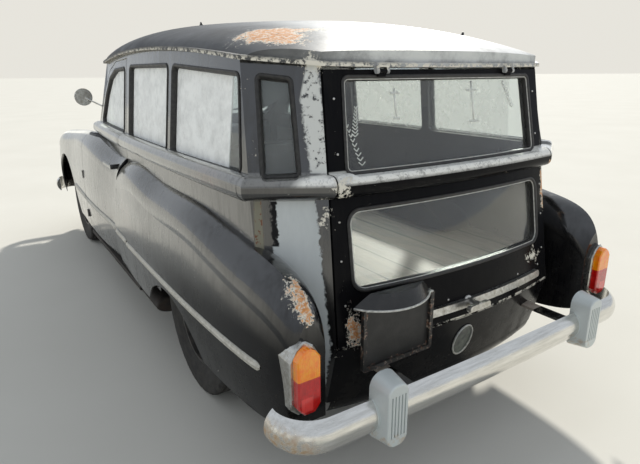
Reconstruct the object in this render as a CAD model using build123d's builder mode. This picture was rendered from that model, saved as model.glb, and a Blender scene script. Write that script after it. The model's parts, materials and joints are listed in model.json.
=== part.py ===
from build123d import *
from math import cos, radians, sin
import os

os.makedirs("parts", exist_ok=True)

# A 1950s two-door station wagon with a long glazed load space. Millimetres, +Z up, the nose towards -Y and
# the car's left side towards +X. The floor is z = 0 and the origin is below the middle of the car.

# Driving dimensions of the car
wheelbase = 2650
rear_axle_y = 1155
front_axle_y = rear_axle_y - wheelbase
bumper_half_length = 2230
bumper_half_width = 835
tyre_radius = 335
tyre_width = 164
rim_radius = 200
half_track = 645

# Cabin: its outline at four heights, followed by a straight loft
floor_bottom = 300
floor_thick = 30
floor_top = floor_bottom + floor_thick
gate_bottom = 526
gate_top = 1362
belt_height = 1000
cabin_top = 1460
wall = 45
panel_gap = 5
gate_half_top = 500
gate_half_bottom = 537
side_bow_y = 500

# height, side half width, rear corner x y, tail corner x y, tail middle y, nose corner x y, nose middle y
cabin_levels = (
    (floor_bottom, 735, 700, 1800, 545, 1926, 1990, 672, -610, -790),
    (gate_bottom, 735, 705, 1812, 540, 1985, 2045, 672, -610, -790),
    (belt_height, 735, 720, 1785, 512, 1915, 1948, 672, -610, -790),
    (cabin_top, 680, 673, 1660, 497, 1832, 1852, 640, -240, -400),
)

# Roof: half ellipses along the car, standing on the drip rail's line
roof_thick = 28
rail_peak_y = 600
rail_peak_height = 1455
rail_front_y = -500
rail_front_height = 1400
rail_rear_y = 1900
rail_rear_height = 1366
rail_depth = 13
rail_out = 16

# station along the car, half width, height of the crown
roof_stations = (
    (-420, 640, 1462),
    (-150, 670, 1565),
    (350, 682, 1612),
    (1080, 684, 1574),
    (1600, 676, 1512),
    (1870, 650, 1420),
)

# Belt moulding, a half round that runs round the cabin
belt_moulding_height = 72
belt_moulding_out = 38
belt_moulding_bottom = belt_height - 8

# Doors
door_front_y = -600
door_rear_low = 235
door_rear_high = 355
door_shut_low = 600
door_shut_high = 930
door_bottom = floor_top + panel_gap
door_inner_lead = 40
handle_y = 290
handle_height = 888
handle_reach = 190
handle_face_x = 806
door_hinge_x = 812
door_hinge_y = door_front_y - panel_gap / 2
door_hinge_heights = (430, 700)

# Hinge barrels: an eye on the moving panel between two lugs that hold the pin
pin_clearance = 0.3
barrel_radius = 8
barrel_pin = 4
barrel_eye = 30
barrel_lug = 10
barrel_room = 5
gate_hinge_y = 1879
gate_hinge_height = 1357
gate_hinge_x = 300
bonnet_hinge_x = 110

# Front fenders and doors share one flank
skin = 12
flank_half = 812
flank_inner = 548
flank_bottom = 332

# station along the car, half width, crease x, height of the top, height of the bottom
flank_stations = (
    (-2090, 738, 652, 792, 430),
    (-1960, 780, 672, 856, 372),
    (-1500, 806, 690, 932, flank_bottom),
    (-700, flank_half, 716, 992, flank_bottom),
    (-150, flank_half, 735, 965, flank_bottom),
    (360, flank_half, 735, 936, flank_bottom),
)

# Rear fender: station, half width, crest x, crest height, inner x, bottom
fender_end_y = 2078
haunch_stations = (
    (200, 812, 735, 944, 640, 332),
    (500, 816, 736, 936, 640, 332),
    (820, 820, 740, 930, 640, 332),
    (1250, 822, 738, 912, 636, 332),
    (1650, 816, 730, 872, 624, 335),
    (1900, 802, 722, 830, 624, 350),
    (2020, 784, 714, 788, 634, 368),
    (fender_end_y, 762, 706, 716, 648, 390),
)
rear_arch_top = 492
front_arch_radius = 408
wheelhouse_radius = 384
wheelhouse_inner = 500

# Bonnet and nose
bonnet_front_y = -2000
bonnet_rear_y = -798
bonnet_gap = 8
bonnet_half = flank_inner - 6
bonnet_side_front = 850
bonnet_side_rear = 905
nose_reach = 2104
nose_corner_y = 2030
nose_bottom = 372

# station along the car, half width, shoulder height, crown height
bonnet_stations = (
    (-2140, 528, 700, 812),
    (-1880, 538, 800, 912),
    (-1600, bonnet_half, 846, 962),
    (-1320, bonnet_half, 878, 994),
    (-1040, bonnet_half, 903, 1018),
    (-760, bonnet_half, 918, 1032),
    (-480, bonnet_half, 928, 1040),
)

# Front axle arms
arm_thick = 14
lower_arm = 236
upper_arm = 452

# Glass
glass_depth = 18
glass_thick = 6

# Rear bumper brackets, which run through the lower panel to the rails
bracket_x = 400
bracket_wide = 50
bracket_thick = 10
bracket_height = 440
seat_gap = 0.3
lamp_gap = 0.9

# Towing eyes
eye_radius = 16
eye_plate = 12
eye_height_low = 304

# Load space
rear_floor_bottom = 545
rear_floor_top = 575
deck_thick = 20
deck_clearance = 4
kick_up_y = 620


def cabin_outline(level):
    """The cabin's outline at one height, as a closed line."""
    _, side, corner_x, corner_y, tail_x, tail_y, tail_mid, nose_x, nose_y, nose_mid = level
    ThreePointArc((-nose_x, nose_y), (0, nose_mid), (nose_x, nose_y))
    ThreePointArc((nose_x, nose_y), (side, side_bow_y), (corner_x, corner_y))
    Line((corner_x, corner_y), (tail_x, tail_y))
    ThreePointArc((tail_x, tail_y), (0, tail_mid), (-tail_x, tail_y))
    Line((-tail_x, tail_y), (-corner_x, corner_y))
    ThreePointArc((-corner_x, corner_y), (-side, side_bow_y), (-nose_x, nose_y))


def cabin_form(inset):
    """The cabin as a solid, its sides set in by a wall."""
    with BuildPart() as form:
        for level in cabin_levels:
            with BuildSketch(Plane.XY.offset(level[0])):
                with BuildLine():
                    cabin_outline(level)
                make_face()
                if inset:
                    offset(amount=-inset, kind=Kind.INTERSECTION)
        loft(ruled=True)
    return form.part


def cabin_slab(level, out, bottom, height):
    """A flat slab with the cabin's outline at one height, grown outwards."""
    with BuildPart() as slab:
        with BuildSketch(Plane.XY.offset(bottom)):
            with BuildLine():
                cabin_outline(level)
            make_face()
            if out:
                offset(amount=out, kind=Kind.INTERSECTION)
        extrude(amount=height)
    return slab.part


def side_prism(points, near, far):
    """A side view outline, extruded across the car from x = near to x = far."""
    with BuildPart() as prism:
        with BuildSketch(Plane.YZ.offset(near)):
            Polygon(*points, align=None)
        extrude(amount=far - near)
    return prism.part


def above_rail(shift):
    """Everything above the drip rail's line, moved up by a shift."""
    with BuildPart() as space:
        with BuildSketch(Plane.YZ.offset(-900)):
            with BuildLine():
                front = (rail_front_y, rail_front_height + shift)
                peak = (rail_peak_y, rail_peak_height + shift)
                rear = (rail_rear_y, rail_rear_height + shift)
                TangentArc(peak, rear, tangent=(1, 0))
                TangentArc(peak, front, tangent=(-1, 0))
                Polyline(front, (rail_front_y, 1900), (rail_rear_y, 1900), rear)
            make_face()
        extrude(amount=1800)
    return space.part


def roof_form(inset):
    """The domed roof, with straight sides down below the drip rail."""
    with BuildPart() as form:
        for station, half, crown in roof_stations:
            base = rail_height(station)
            width = half - inset
            with BuildSketch(Plane.XZ.offset(-station)):
                with BuildLine():
                    EllipticalCenterArc((0, base), width, crown - inset - base, start_angle=0, arc_size=180)
                    Polyline((-width, base), (-width, base - 120), (width, base - 120), (width, base))
                make_face()
        loft()
    return form.part


def rail_height(station):
    """Height of the drip rail along the car."""
    if station > rail_peak_y:
        run = rail_rear_y - rail_peak_y
        drop = rail_peak_height - rail_rear_height
    else:
        run = rail_peak_y - rail_front_y
        drop = rail_peak_height - rail_front_height
    return rail_peak_height - drop * ((station - rail_peak_y) / run) ** 2


def flank_form(inset):
    """The left flank from the headlamp to the door's rear edge, solid."""
    with BuildPart() as form:
        for station, half, crease, top, bottom in flank_stations:
            low = bottom if not inset else bottom - 60
            high = top - inset
            outer = half - inset
            inner = flank_inner + inset
            with BuildSketch(Plane.XZ.offset(-station)):
                with BuildLine():
                    Line((inner, low), (outer - 16, low))
                    ThreePointArc((outer - 16, low), (outer, 560), (outer - 14, high - 120))
                    ThreePointArc((outer - 14, high - 120), (outer - 34, high - 46), (crease, high))
                    Line((crease, high), (inner, high - 46))
                    Line((inner, high - 46), (inner, low))
                make_face()
        loft()
    return form.part


def haunch_form(inset):
    """The left rear fender, solid."""
    with BuildPart() as form:
        for station, half, crest, top, inner, bottom in haunch_stations:
            low = bottom if not inset else bottom - 80
            high = top - inset
            outer = half - inset
            root = inner + inset
            with BuildSketch(Plane.XZ.offset(-station)):
                with BuildLine():
                    Line((root, low), (outer - 14, low))
                    ThreePointArc((outer - 14, low), (outer, 520), (outer - 14, high - 130))
                    ThreePointArc((outer - 14, high - 130), (outer - 32, high - 44), (crest, high))
                    ThreePointArc((crest, high), (root + 26, high - 32), (root, high - 130))
                    Line((root, high - 130), (root, low))
                make_face()
        loft()
    return form.part


def bonnet_form(inset):
    """The domed middle of the nose between the front fenders."""
    with BuildPart() as form:
        for station, half, shoulder, crown in bonnet_stations:
            width = half - inset
            rise = crown - shoulder
            with BuildSketch(Plane.XZ.offset(-station)):
                with BuildLine():
                    EllipticalCenterArc((0, shoulder - inset), width, rise, start_angle=0, arc_size=180)
                    Polyline((-width, shoulder - inset), (-width, 250), (width, 250), (width, shoulder - inset))
                make_face()
        loft()
    return form.part


def nose_plan(inset, bottom):
    """The nose's plan as a tall prism with a bowed front."""
    corner = flank_inner - inset
    with BuildPart() as prism:
        with BuildSketch(Plane.XY.offset(bottom)):
            with BuildLine():
                ThreePointArc(
                    (-corner, inset - nose_corner_y), (0, inset - nose_reach), (corner, inset - nose_corner_y)
                )
                Polyline(
                    (corner, inset - nose_corner_y), (corner, -400), (-corner, -400),
                    (-corner, inset - nose_corner_y),
                )
            make_face()
        extrude(amount=900)
    return prism.part


def door_block(gap):
    """The room of the left door, its rear face slanted so that it swings clear."""
    with BuildPart() as block:
        for across, lead in ((520, 0), (900, door_inner_lead)):
            low = door_rear_low - door_inner_lead / 2 + lead
            high = door_rear_high - door_inner_lead / 2 + lead
            with BuildSketch(Plane.YZ.offset(across)):
                Polygon(
                    (door_front_y - gap, door_bottom - gap),
                    (low + gap, door_bottom - gap),
                    (low + gap, door_shut_low),
                    (high + gap, door_shut_high),
                    (high + gap, 1428 + gap),
                    (60, 1420 + gap),
                    (-150 - gap * 0.5, 1372 + gap),
                    (-318 - gap, 1260 + gap),
                    (door_front_y - gap, belt_height + 10),
                    align=None,
                )
        loft(ruled=True)
    return block.part


def gate_block(gap):
    """The room of the tailgate."""
    low = gate_half_bottom + gap
    high = gate_half_top + gap
    with BuildPart() as block:
        with BuildSketch(Plane.XZ.offset(-1560)):
            Polygon(
                (-low, gate_bottom - gap), (low, gate_bottom - gap),
                (high, gate_top + gap), (-high, gate_top + gap), align=None,
            )
        extrude(amount=-700)
    return block.part


def wheel_space(radius, axle_y, near, far):
    """A round space about an axle, from x = near to x = far."""
    with BuildPart() as space:
        with BuildSketch(Plane.YZ.offset(near)):
            with Locations((axle_y, tyre_radius)):
                Circle(radius)
        extrude(amount=far - near)
    return space.part


def box_between(low, high):
    """A block between two corners."""
    with BuildPart() as block:
        size = [top - bottom for bottom, top in zip(low, high)]
        middle = [(bottom + top) / 2 for bottom, top in zip(low, high)]
        with Locations(tuple(middle)):
            Box(*size)
    return block.part


def towing_eye(across, along, top):
    """A plate that hangs from a bracket, with a hole across the car."""
    with BuildPart() as plate:
        with BuildSketch(Plane.YZ.offset(across - eye_plate / 2)):
            with Locations((along, eye_height_low)):
                Circle(eye_radius + 16)
            with Locations((along, (top + eye_height_low) / 2)):
                Rectangle(2 * eye_radius + 32, top - eye_height_low)
            with Locations((along, eye_height_low)):
                Circle(eye_radius, mode=Mode.SUBTRACT)
        extrude(amount=eye_plate)
    return plate.part


def hinge_barrel(radius, length, plane):
    """A round bar along a hinge's axis, from the plane's origin."""
    with BuildPart() as bar:
        with BuildSketch(plane):
            Circle(radius)
        extrude(amount=length)
    return bar.part


def hinge_parts(plane):
    """One hinge as solids: the eye, the lugs with their pin, room for the lugs, for the eye and for the pin."""
    lug_start = plane.offset(-barrel_lug)
    eye_end = plane.offset(barrel_eye)
    full = barrel_eye + 2 * barrel_lug
    bored = hinge_barrel(barrel_radius, barrel_eye - 2 * pin_clearance, plane.offset(pin_clearance))
    pin_room = hinge_barrel(barrel_pin + pin_clearance, full, lug_start)
    eye = bored - pin_room
    lugs = hinge_barrel(barrel_radius, barrel_lug, lug_start) + hinge_barrel(barrel_radius, barrel_lug, eye_end)
    lugs = lugs + hinge_barrel(barrel_pin, full, lug_start)
    wide = barrel_radius + barrel_room
    lug_room = hinge_barrel(wide, barrel_lug + barrel_room, plane.offset(-barrel_lug - barrel_room))
    lug_room = lug_room + hinge_barrel(wide, barrel_lug + barrel_room, eye_end)
    eye_room = hinge_barrel(wide, barrel_eye, plane)
    return eye, lugs, lug_room, eye_room, pin_room


def save(shape, name):
    """Label a piece and write it."""
    shape.label = name
    export_step(shape, f"parts/{name}.step")


# Window openings in the side view, in order from the door backwards
door_window = ((-432, 1060), (312, 1060), (312, 1386), (40, 1378), (-130, 1335), (-270, 1240))
window_radius = 28
side_windows = (
    ((430, 1050), (1052, 1050), (1052, 1388), (430, 1392)),
    ((1106, 1050), (1722, 1052), (1676, 1352), (1106, 1386)),
)
upper_gate_window = ((-456, 1056), (456, 1056), (438, 1338), (-438, 1338))
lower_gate_window = ((-466, 694), (466, 694), (462, 948), (-462, 948))
screen_window = ((-600, 1046), (600, 1046), (560, 1384), (-560, 1384))


def door_handle():
    """The left door's handle: a round boss at its rear end and a lever with rounded edges."""
    with BuildPart() as handle:
        with BuildSketch(Plane.YZ.offset(740)):
            with Locations((handle_y, handle_height)):
                Circle(13)
        extrude(amount=handle_face_x - 735)
    with BuildPart() as lever:
        with BuildSketch(Plane.YZ.offset(handle_face_x - 6)):
            with Locations((handle_y + 14 - handle_reach / 2, handle_height)):
                SlotOverall(handle_reach, 19)
        extrude(amount=12)
        fillet(lever.faces().sort_by(Axis.X)[-1].edges(), 5)
    return handle.part + lever.part


def window_prism(points, plane, length, radius):
    """A window opening with rounded corners."""
    with BuildPart() as prism:
        with BuildSketch(plane) as outline:
            Polygon(*points, align=None)
            fillet(outline.vertices(), radius)
        extrude(amount=length)
    return prism.part


# Shared forms
cabin_outer = cabin_form(0)
cabin_inner = cabin_form(wall)
cabin_shell = cabin_outer - cabin_inner
glass_shell = cabin_form(glass_depth) - cabin_form(glass_depth + glass_thick)
over_rail = above_rail(0)
belt_level = cabin_levels[2]
flank_outer = flank_form(0)
haunch_outer = haunch_form(0)
bonnet_outer = bonnet_form(0)
bonnet_inner = bonnet_form(skin)
bonnet_skin = bonnet_outer - bonnet_inner
door_room = door_block(panel_gap)
door_room_right = mirror(door_room, about=Plane.YZ)

with BuildPart() as belt_ring:
    add(cabin_slab(belt_level, belt_moulding_out, belt_moulding_bottom, belt_moulding_height))
    fillet(belt_ring.edges().group_by(Axis.Z)[-1], belt_moulding_height * 0.42)
    fillet(belt_ring.edges().group_by(Axis.Z)[0], belt_moulding_height * 0.42)
belt_moulding = belt_ring.part - cabin_outer

# Side windows on the left, the corner window and both windows of the tailgate
left_panes = [window_prism(points, Plane.YZ.offset(560), 300, window_radius) for points in side_windows]
door_pane = window_prism(door_window, Plane.YZ.offset(560), 300, window_radius)
corner_plane = Plane(origin=(520, 1780, 0), x_dir=(-0.848, 0.53, 0), z_dir=(0.53, 0.848, 0))
corner_pane = window_prism(
    ((-128, 1052), (-16, 1056), (-38, 1334), (-140, 1346)), corner_plane, 250, 14
)
upper_pane = window_prism(upper_gate_window, Plane.XZ.offset(-1560), -600, 22)
lower_pane = window_prism(lower_gate_window, Plane.XZ.offset(-1560), -600, 45)
screen_pane = window_prism(screen_window, Plane.XZ.offset(100), 800, 50)

# Hinges of the left door, the tailgate and the bonnet
door_hinges = [
    hinge_parts(Plane(origin=(door_hinge_x, door_hinge_y, height), z_dir=(0, 0, 1))) for height in door_hinge_heights
]
gate_hinges = [
    hinge_parts(Plane(origin=(across - barrel_eye / 2, gate_hinge_y, gate_hinge_height), z_dir=(1, 0, 0)))
    for across in (-gate_hinge_x, gate_hinge_x)
]
bonnet_hinge_y = bonnet_rear_y + panel_gap / 2
crest_low = (bonnet_hinge_x - barrel_eye / 2, bonnet_hinge_y - 1, 800)
crest_high = (bonnet_hinge_x + barrel_eye / 2, bonnet_hinge_y + 1, 1300)
bonnet_crest = bonnet_outer & box_between(crest_low, crest_high)
bonnet_hinge_height = bonnet_crest.bounding_box().max.Z - skin / 2
bonnet_hinges = [
    hinge_parts(Plane(origin=(across - barrel_eye / 2, bonnet_hinge_y, bonnet_hinge_height), z_dir=(1, 0, 0)))
    for across in (-bonnet_hinge_x, bonnet_hinge_x)
]

# Wheelhouses
rear_wheel_left = wheel_space(wheelhouse_radius + skin, rear_axle_y, wheelhouse_inner - skin, 900)
front_wheel_left = wheel_space(front_arch_radius, front_axle_y, 398, 900)

# Floor
with BuildPart() as floor_pan:
    add(cabin_slab(cabin_levels[0], 0, floor_bottom, floor_thick))
    add(box_between((-800, kick_up_y, 200), (800, 2200, floor_top)), mode=Mode.SUBTRACT)
    kick_up = box_between((-700, kick_up_y - 15, floor_bottom), (700, kick_up_y, rear_floor_top))
    rear_floor = box_between((-700, kick_up_y - 15, rear_floor_bottom), (700, 1905, rear_floor_top))
    add(kick_up & cabin_inner)
    add(rear_floor & cabin_inner)
    for side in (-1, 1):
        with Locations((side * 768, (door_front_y + kick_up_y) / 2, floor_bottom + 13)):
            Box(70, kick_up_y - door_front_y, 26)
        with Locations((side * 400, (kick_up_y + 1890) / 2, rear_floor_bottom - 50)):
            Box(60, 1890 - kick_up_y, 100)
        add(box_between((side * 365 - 20, -2000, floor_bottom), (side * 365 + 20, -756, floor_top + 50)))
        add(box_between((side * 365 - 20, -760, floor_bottom), (side * 365 + 20, -700, floor_top)))
        add(box_between((side * 379 - 6, -2000, floor_top), (side * 379 + 6, -756, 757)))
        add(box_between((side * 460.5 - 87.5, -2000, 745), (side * 460.5 + 87.5, -756, 757)))
        slot_middle = (side * 370, front_axle_y, upper_arm + arm_thick / 2)
        with Locations(slot_middle):
            Box(80, 270, 70, mode=Mode.SUBTRACT)
    with Locations((0, -60, floor_top + 50)):
        Box(180, 1200, 100)
    add(mirror(rear_wheel_left, about=Plane.YZ), mode=Mode.SUBTRACT)
    add(rear_wheel_left, mode=Mode.SUBTRACT)
    for side in (-1, 1):
        near = wheelhouse_inner if side > 0 else -688
        with BuildSketch(Plane.YZ.offset(near)):
            with Locations((rear_axle_y, tyre_radius)):
                Circle(wheelhouse_radius + skin)
                Circle(wheelhouse_radius, mode=Mode.SUBTRACT)
            with Locations((rear_axle_y, tyre_radius - 300)):
                Rectangle(1000, 600, mode=Mode.SUBTRACT)
        extrude(amount=188)
        with BuildSketch(Plane.YZ.offset(side * (wheelhouse_inner - skin / 2) - skin / 2)):
            with Locations((rear_axle_y, tyre_radius)):
                Circle(wheelhouse_radius + skin)
            with Locations((rear_axle_y, tyre_radius - 300)):
                Rectangle(1000, 600, mode=Mode.SUBTRACT)
            with Locations((rear_axle_y, tyre_radius)):
                Rectangle(130, 190, mode=Mode.SUBTRACT)
        extrude(amount=skin)
save(floor_pan.part, "floor_pan")

with BuildPart() as load_deck:
    deck_low = (-700, kick_up_y - 15, rear_floor_top)
    deck_high = (700, 1900, rear_floor_top + deck_thick)
    add(box_between(deck_low, deck_high) & cabin_form(wall + deck_clearance))
    for space in (rear_wheel_left, mirror(rear_wheel_left, about=Plane.YZ)):
        add(space, mode=Mode.SUBTRACT)
save(load_deck.part, "load_deck")

# Body sides with the pillars, the cant rail and the corner facet
tail_half = gate_half_bottom + panel_gap
low_tail = box_between((-tail_half, 1560, 200), (tail_half, 2300, gate_bottom - panel_gap))
side_keep = box_between((0, -250, floor_top), (1000, 2300, 1700))
with BuildPart() as body_side_left:
    add(cabin_shell)
    add(belt_moulding)
    add(side_keep, mode=Mode.INTERSECT)
    for cutter in (door_room, gate_block(panel_gap), low_tail, over_rail, rear_wheel_left, corner_pane):
        add(cutter, mode=Mode.SUBTRACT)
    for cutter in left_panes:
        add(cutter, mode=Mode.SUBTRACT)
save(body_side_left.part, "body_side_left")
save(mirror(body_side_left.part, about=Plane.YZ), "body_side_right")

# Rear fenders
with BuildPart() as rear_fender:
    add(haunch_outer)
    add(haunch_form(skin), mode=Mode.SUBTRACT)
    end_low = (500, fender_end_y - skin, 300)
    add(haunch_outer & box_between(end_low, (900, 2200, 900)))
    add(cabin_outer, mode=Mode.SUBTRACT)
    add(door_room, mode=Mode.SUBTRACT)
    add(box_between((500, 600, 200), (750, 1800, 1000)) & rear_wheel_left, mode=Mode.SUBTRACT)
    with BuildSketch(Plane.YZ.offset(700)):
        with BuildLine():
            ThreePointArc((780, 300), (rear_axle_y, rear_arch_top), (1530, 300))
            Line((1530, 300), (780, 300))
        make_face()
    extrude(amount=200, mode=Mode.SUBTRACT)
rear_fenders = Compound(children=[rear_fender.part, mirror(rear_fender.part, about=Plane.YZ)])
save(rear_fenders, "rear_fenders")

# Front fenders
with BuildPart() as front_fender:
    add(flank_outer)
    add(flank_form(skin), mode=Mode.SUBTRACT)
    add(flank_outer & box_between((500, -2100, 300), (900, -2090 + skin, 900)))
    add(box_between((500, door_front_y - panel_gap, 200), (900, 500, 1100)), mode=Mode.SUBTRACT)
    add(cabin_outer, mode=Mode.SUBTRACT)
    add(front_wheel_left, mode=Mode.SUBTRACT)
    for hinge in door_hinges:
        add(hinge[3], mode=Mode.SUBTRACT)
        add(hinge[1])
front_fenders = Compound(children=[front_fender.part, mirror(front_fender.part, about=Plane.YZ)])
save(front_fenders, "front_fenders")

# Doors
with BuildPart() as door_left:
    add(cabin_outer)
    add(flank_outer)
    add(belt_moulding)
    add(cabin_inner, mode=Mode.SUBTRACT)
    add(door_block(0), mode=Mode.INTERSECT)
    add(door_pane, mode=Mode.SUBTRACT)
    for hinge in door_hinges:
        add(hinge[2], mode=Mode.SUBTRACT)
        add(hinge[0])
        add(hinge[4], mode=Mode.SUBTRACT)
    add(door_handle())
save(door_left.part, "door_left")
save(mirror(door_left.part, about=Plane.YZ), "door_right")
door_glass = glass_shell & door_pane
save(door_glass, "door_glass_left")
save(mirror(door_glass, about=Plane.YZ), "door_glass_right")

# Roof with the drip rail
rail_level = (0, 684, 681, 1680, 501, 1845, 1868, 645, -275, -440)
with BuildPart() as roof:
    add(roof_form(0))
    add(cabin_slab(rail_level, 0, 1200, 600), mode=Mode.INTERSECT)
    add(roof_form(roof_thick) & cabin_slab(rail_level, -roof_thick, 1200, 600), mode=Mode.SUBTRACT)
    add(over_rail, mode=Mode.INTERSECT)
rail = (cabin_slab(rail_level, rail_out, 1200, 400) - cabin_slab(rail_level, -5, 1200, 400)) & over_rail
rail = rail - above_rail(rail_depth)
roof_with_rail = roof.part + rail
for hinge, across in zip(gate_hinges, (-gate_hinge_x, gate_hinge_x)):
    lug_low = (across - barrel_eye / 2 - barrel_lug, gate_hinge_y - 9, gate_hinge_height)
    lug_high = (across + barrel_eye / 2 + barrel_lug, gate_hinge_y + 5, gate_hinge_height + 17)
    lug_block = box_between(lug_low, lug_high) - hinge[3]
    roof_with_rail = roof_with_rail + (lug_block + hinge[1])
save(roof_with_rail, "roof")

# Cowl with the bulkhead, the screen pillars and the panel ahead of the windscreen
with BuildPart() as cowl:
    add(cabin_shell)
    add(box_between((-900, -900, floor_top), (900, -250, 1700)), mode=Mode.INTERSECT)
    add(door_room, mode=Mode.SUBTRACT)
    add(door_room_right, mode=Mode.SUBTRACT)
    add(over_rail, mode=Mode.SUBTRACT)
    add(screen_pane, mode=Mode.SUBTRACT)
scuttle = bonnet_skin
scuttle = scuttle & box_between((-600, bonnet_rear_y + panel_gap, 800), (600, -560, 1200))
scuttle = scuttle - cabin_outer
for hinge in bonnet_hinges:
    scuttle = scuttle - hinge[3]
    scuttle = scuttle + hinge[1]
save(cowl.part + scuttle, "cowl")
save(glass_shell & screen_pane, "windscreen")

# Bonnet
bonnet_bevel = 40
bonnet_keep = side_prism(
    ((bonnet_front_y, bonnet_side_front), (bonnet_rear_y, bonnet_side_rear),
     (bonnet_rear_y, bonnet_hinge_height - 2), (bonnet_rear_y - bonnet_bevel, bonnet_hinge_height - 2 + bonnet_bevel),
     (bonnet_front_y, bonnet_hinge_height - 2 + bonnet_bevel)), -600, 600
)
bonnet_shell = bonnet_skin & bonnet_keep
for hinge in bonnet_hinges:
    bonnet_shell = bonnet_shell - hinge[2]
    bonnet_shell = bonnet_shell + hinge[0] - hinge[4]
save(bonnet_shell, "bonnet")

# Nose panel and grille
with BuildPart() as nose_panel:
    add(bonnet_outer & nose_plan(0, nose_bottom))
    add(bonnet_inner & nose_plan(skin, nose_bottom - 50), mode=Mode.SUBTRACT)
    add(box_between((-700, bonnet_front_y - bonnet_gap, 200), (700, 0, 1300)), mode=Mode.SUBTRACT)
    with BuildSketch(Plane.XZ.offset(1900)):
        with Locations((0, 580)):
            RectangleRounded(640, 220, 90)
    extrude(amount=300, mode=Mode.SUBTRACT)
save(nose_panel.part, "nose_panel")

grille_bars = 7
with BuildPart() as grille_room:
    with BuildSketch(Plane.XZ.offset(1900)):
        with Locations((0, 580)):
            RectangleRounded(640, 220, 90)
    extrude(amount=300)
grille_opening = grille_room.part
with BuildPart() as grille:
    grille_skin = nose_plan(4, 300) - nose_plan(skin + 4, 300)
    with BuildSketch(Plane.XZ.offset(1900)):
        with Locations((0, 580)):
            RectangleRounded(640, 220, 90)
            RectangleRounded(610, 190, 78, mode=Mode.SUBTRACT)
        with Locations((0, 580)):
            with GridLocations(0, 28, 1, grille_bars):
                Rectangle(620, 10)
            with GridLocations(200, 0, 3, 1):
                Rectangle(12, 196)
    extrude(amount=300)
    add(grille_skin, mode=Mode.INTERSECT)
    add(grille_opening, mode=Mode.INTERSECT)
save(grille.part, "grille")

# Lower rear panel
with BuildPart() as lower_rear_panel:
    add(cabin_shell)
    add(low_tail, mode=Mode.INTERSECT)
    for side in (-1, 1):
        with Locations((side * bracket_x, 2000, bracket_height)):
            Box(bracket_wide + 2, 300, bracket_thick + 2, mode=Mode.SUBTRACT)
save(lower_rear_panel.part, "lower_rear_panel")

# Side panes
side_cut = [glass_shell & pane for pane in left_panes + [corner_pane]]
pane_list = [piece for pane in side_cut for piece in (pane, mirror(pane, about=Plane.YZ))]
save(Compound(children=pane_list), "side_glass")

# Tailgate
with BuildPart() as tailgate:
    add(cabin_shell)
    add(belt_moulding)
    add(gate_block(0), mode=Mode.INTERSECT)
    add(upper_pane, mode=Mode.SUBTRACT)
    add(lower_pane, mode=Mode.SUBTRACT)
    for hinge, across in zip(gate_hinges, (-gate_hinge_x, gate_hinge_x)):
        strap_low = (across - barrel_eye / 2 + pin_clearance, gate_hinge_y - 32, gate_hinge_height - 17)
        strap_high = (across + barrel_eye / 2 - pin_clearance, gate_hinge_y, gate_hinge_height)
        add(hinge[2], mode=Mode.SUBTRACT)
        add(box_between(strap_low, strap_high) + hinge[0] - hinge[4])
save(tailgate.part, "tailgate")
save(Compound(children=[glass_shell & upper_pane, glass_shell & lower_pane]), "tailgate_glass")

# Tailgate fittings: the plate holder with its lamp housing on the left, and the bar with the handle
plate_middle_x = 368
plate_back_y = 2052
with BuildPart() as plate_holder:
    with BuildSketch(Plane.XZ.offset(-plate_back_y)):
        with Locations((plate_middle_x - 12, 575)):
            RectangleRounded(290, 212, 12)
            RectangleRounded(262, 184, 6, mode=Mode.SUBTRACT)
    extrude(amount=-14)
    with BuildSketch(Plane.XZ.offset(-plate_back_y)):
        with Locations((plate_middle_x - 12, 575)):
            Rectangle(268, 190)
    extrude(amount=-4)
    with BuildSketch(Plane.XY.offset(677)):
        with BuildLine():
            Line((plate_middle_x - 148, plate_back_y - 2), (plate_middle_x + 148, plate_back_y - 22))
            ThreePointArc(
                (plate_middle_x + 148, plate_back_y - 22), (plate_middle_x, plate_back_y + 68),
                (plate_middle_x - 148, plate_back_y - 2),
            )
        make_face()
    extrude(amount=48, taper=24)
    for across in (-110, 86):
        with Locations((plate_middle_x + across, plate_back_y - 22, 620)):
            Box(16, 50, 16)
    add(cabin_outer, mode=Mode.SUBTRACT)
save(plate_holder.part, "plate_holder")

bar_height = 575
with BuildPart() as tailgate_handle:
    with BuildSketch(Plane.XZ.offset(-1990)):
        with Locations((-120, bar_height)):
            RectangleRounded(640, 26, 12)
    extrude(amount=-80)
    add(cabin_form(-16), mode=Mode.INTERSECT)
    with BuildSketch(Plane.XZ.offset(-2030)):
        with Locations((8, bar_height)):
            Circle(15)
    extrude(amount=-62)
    with BuildSketch(Plane.XZ.offset(-2078)):
        with Locations((8, bar_height)):
            RectangleRounded(104, 22, 10)
    extrude(amount=-16)
    add(cabin_outer, mode=Mode.SUBTRACT)
save(tailgate_handle.part, "tailgate_handle")

# Bumpers: a D section swept round the body
bumper_height = 402
bumper_tall = 112
bumper_deep = 30
bumper_face_y = bumper_half_length - 24
bumper_end_y = 2045
front_bumper_end_y = 2010
front_overrider_x = 350
bumper_back_y = bumper_face_y - bumper_deep
front_bracket_x = 365
front_bracket_height = nose_bottom - bracket_thick - seat_gap
overrider_x = 500
overrider_wide = 98
overrider_deep = 74
overrider_taper = 9
grooves = 5
groove_pitch = 12


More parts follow.
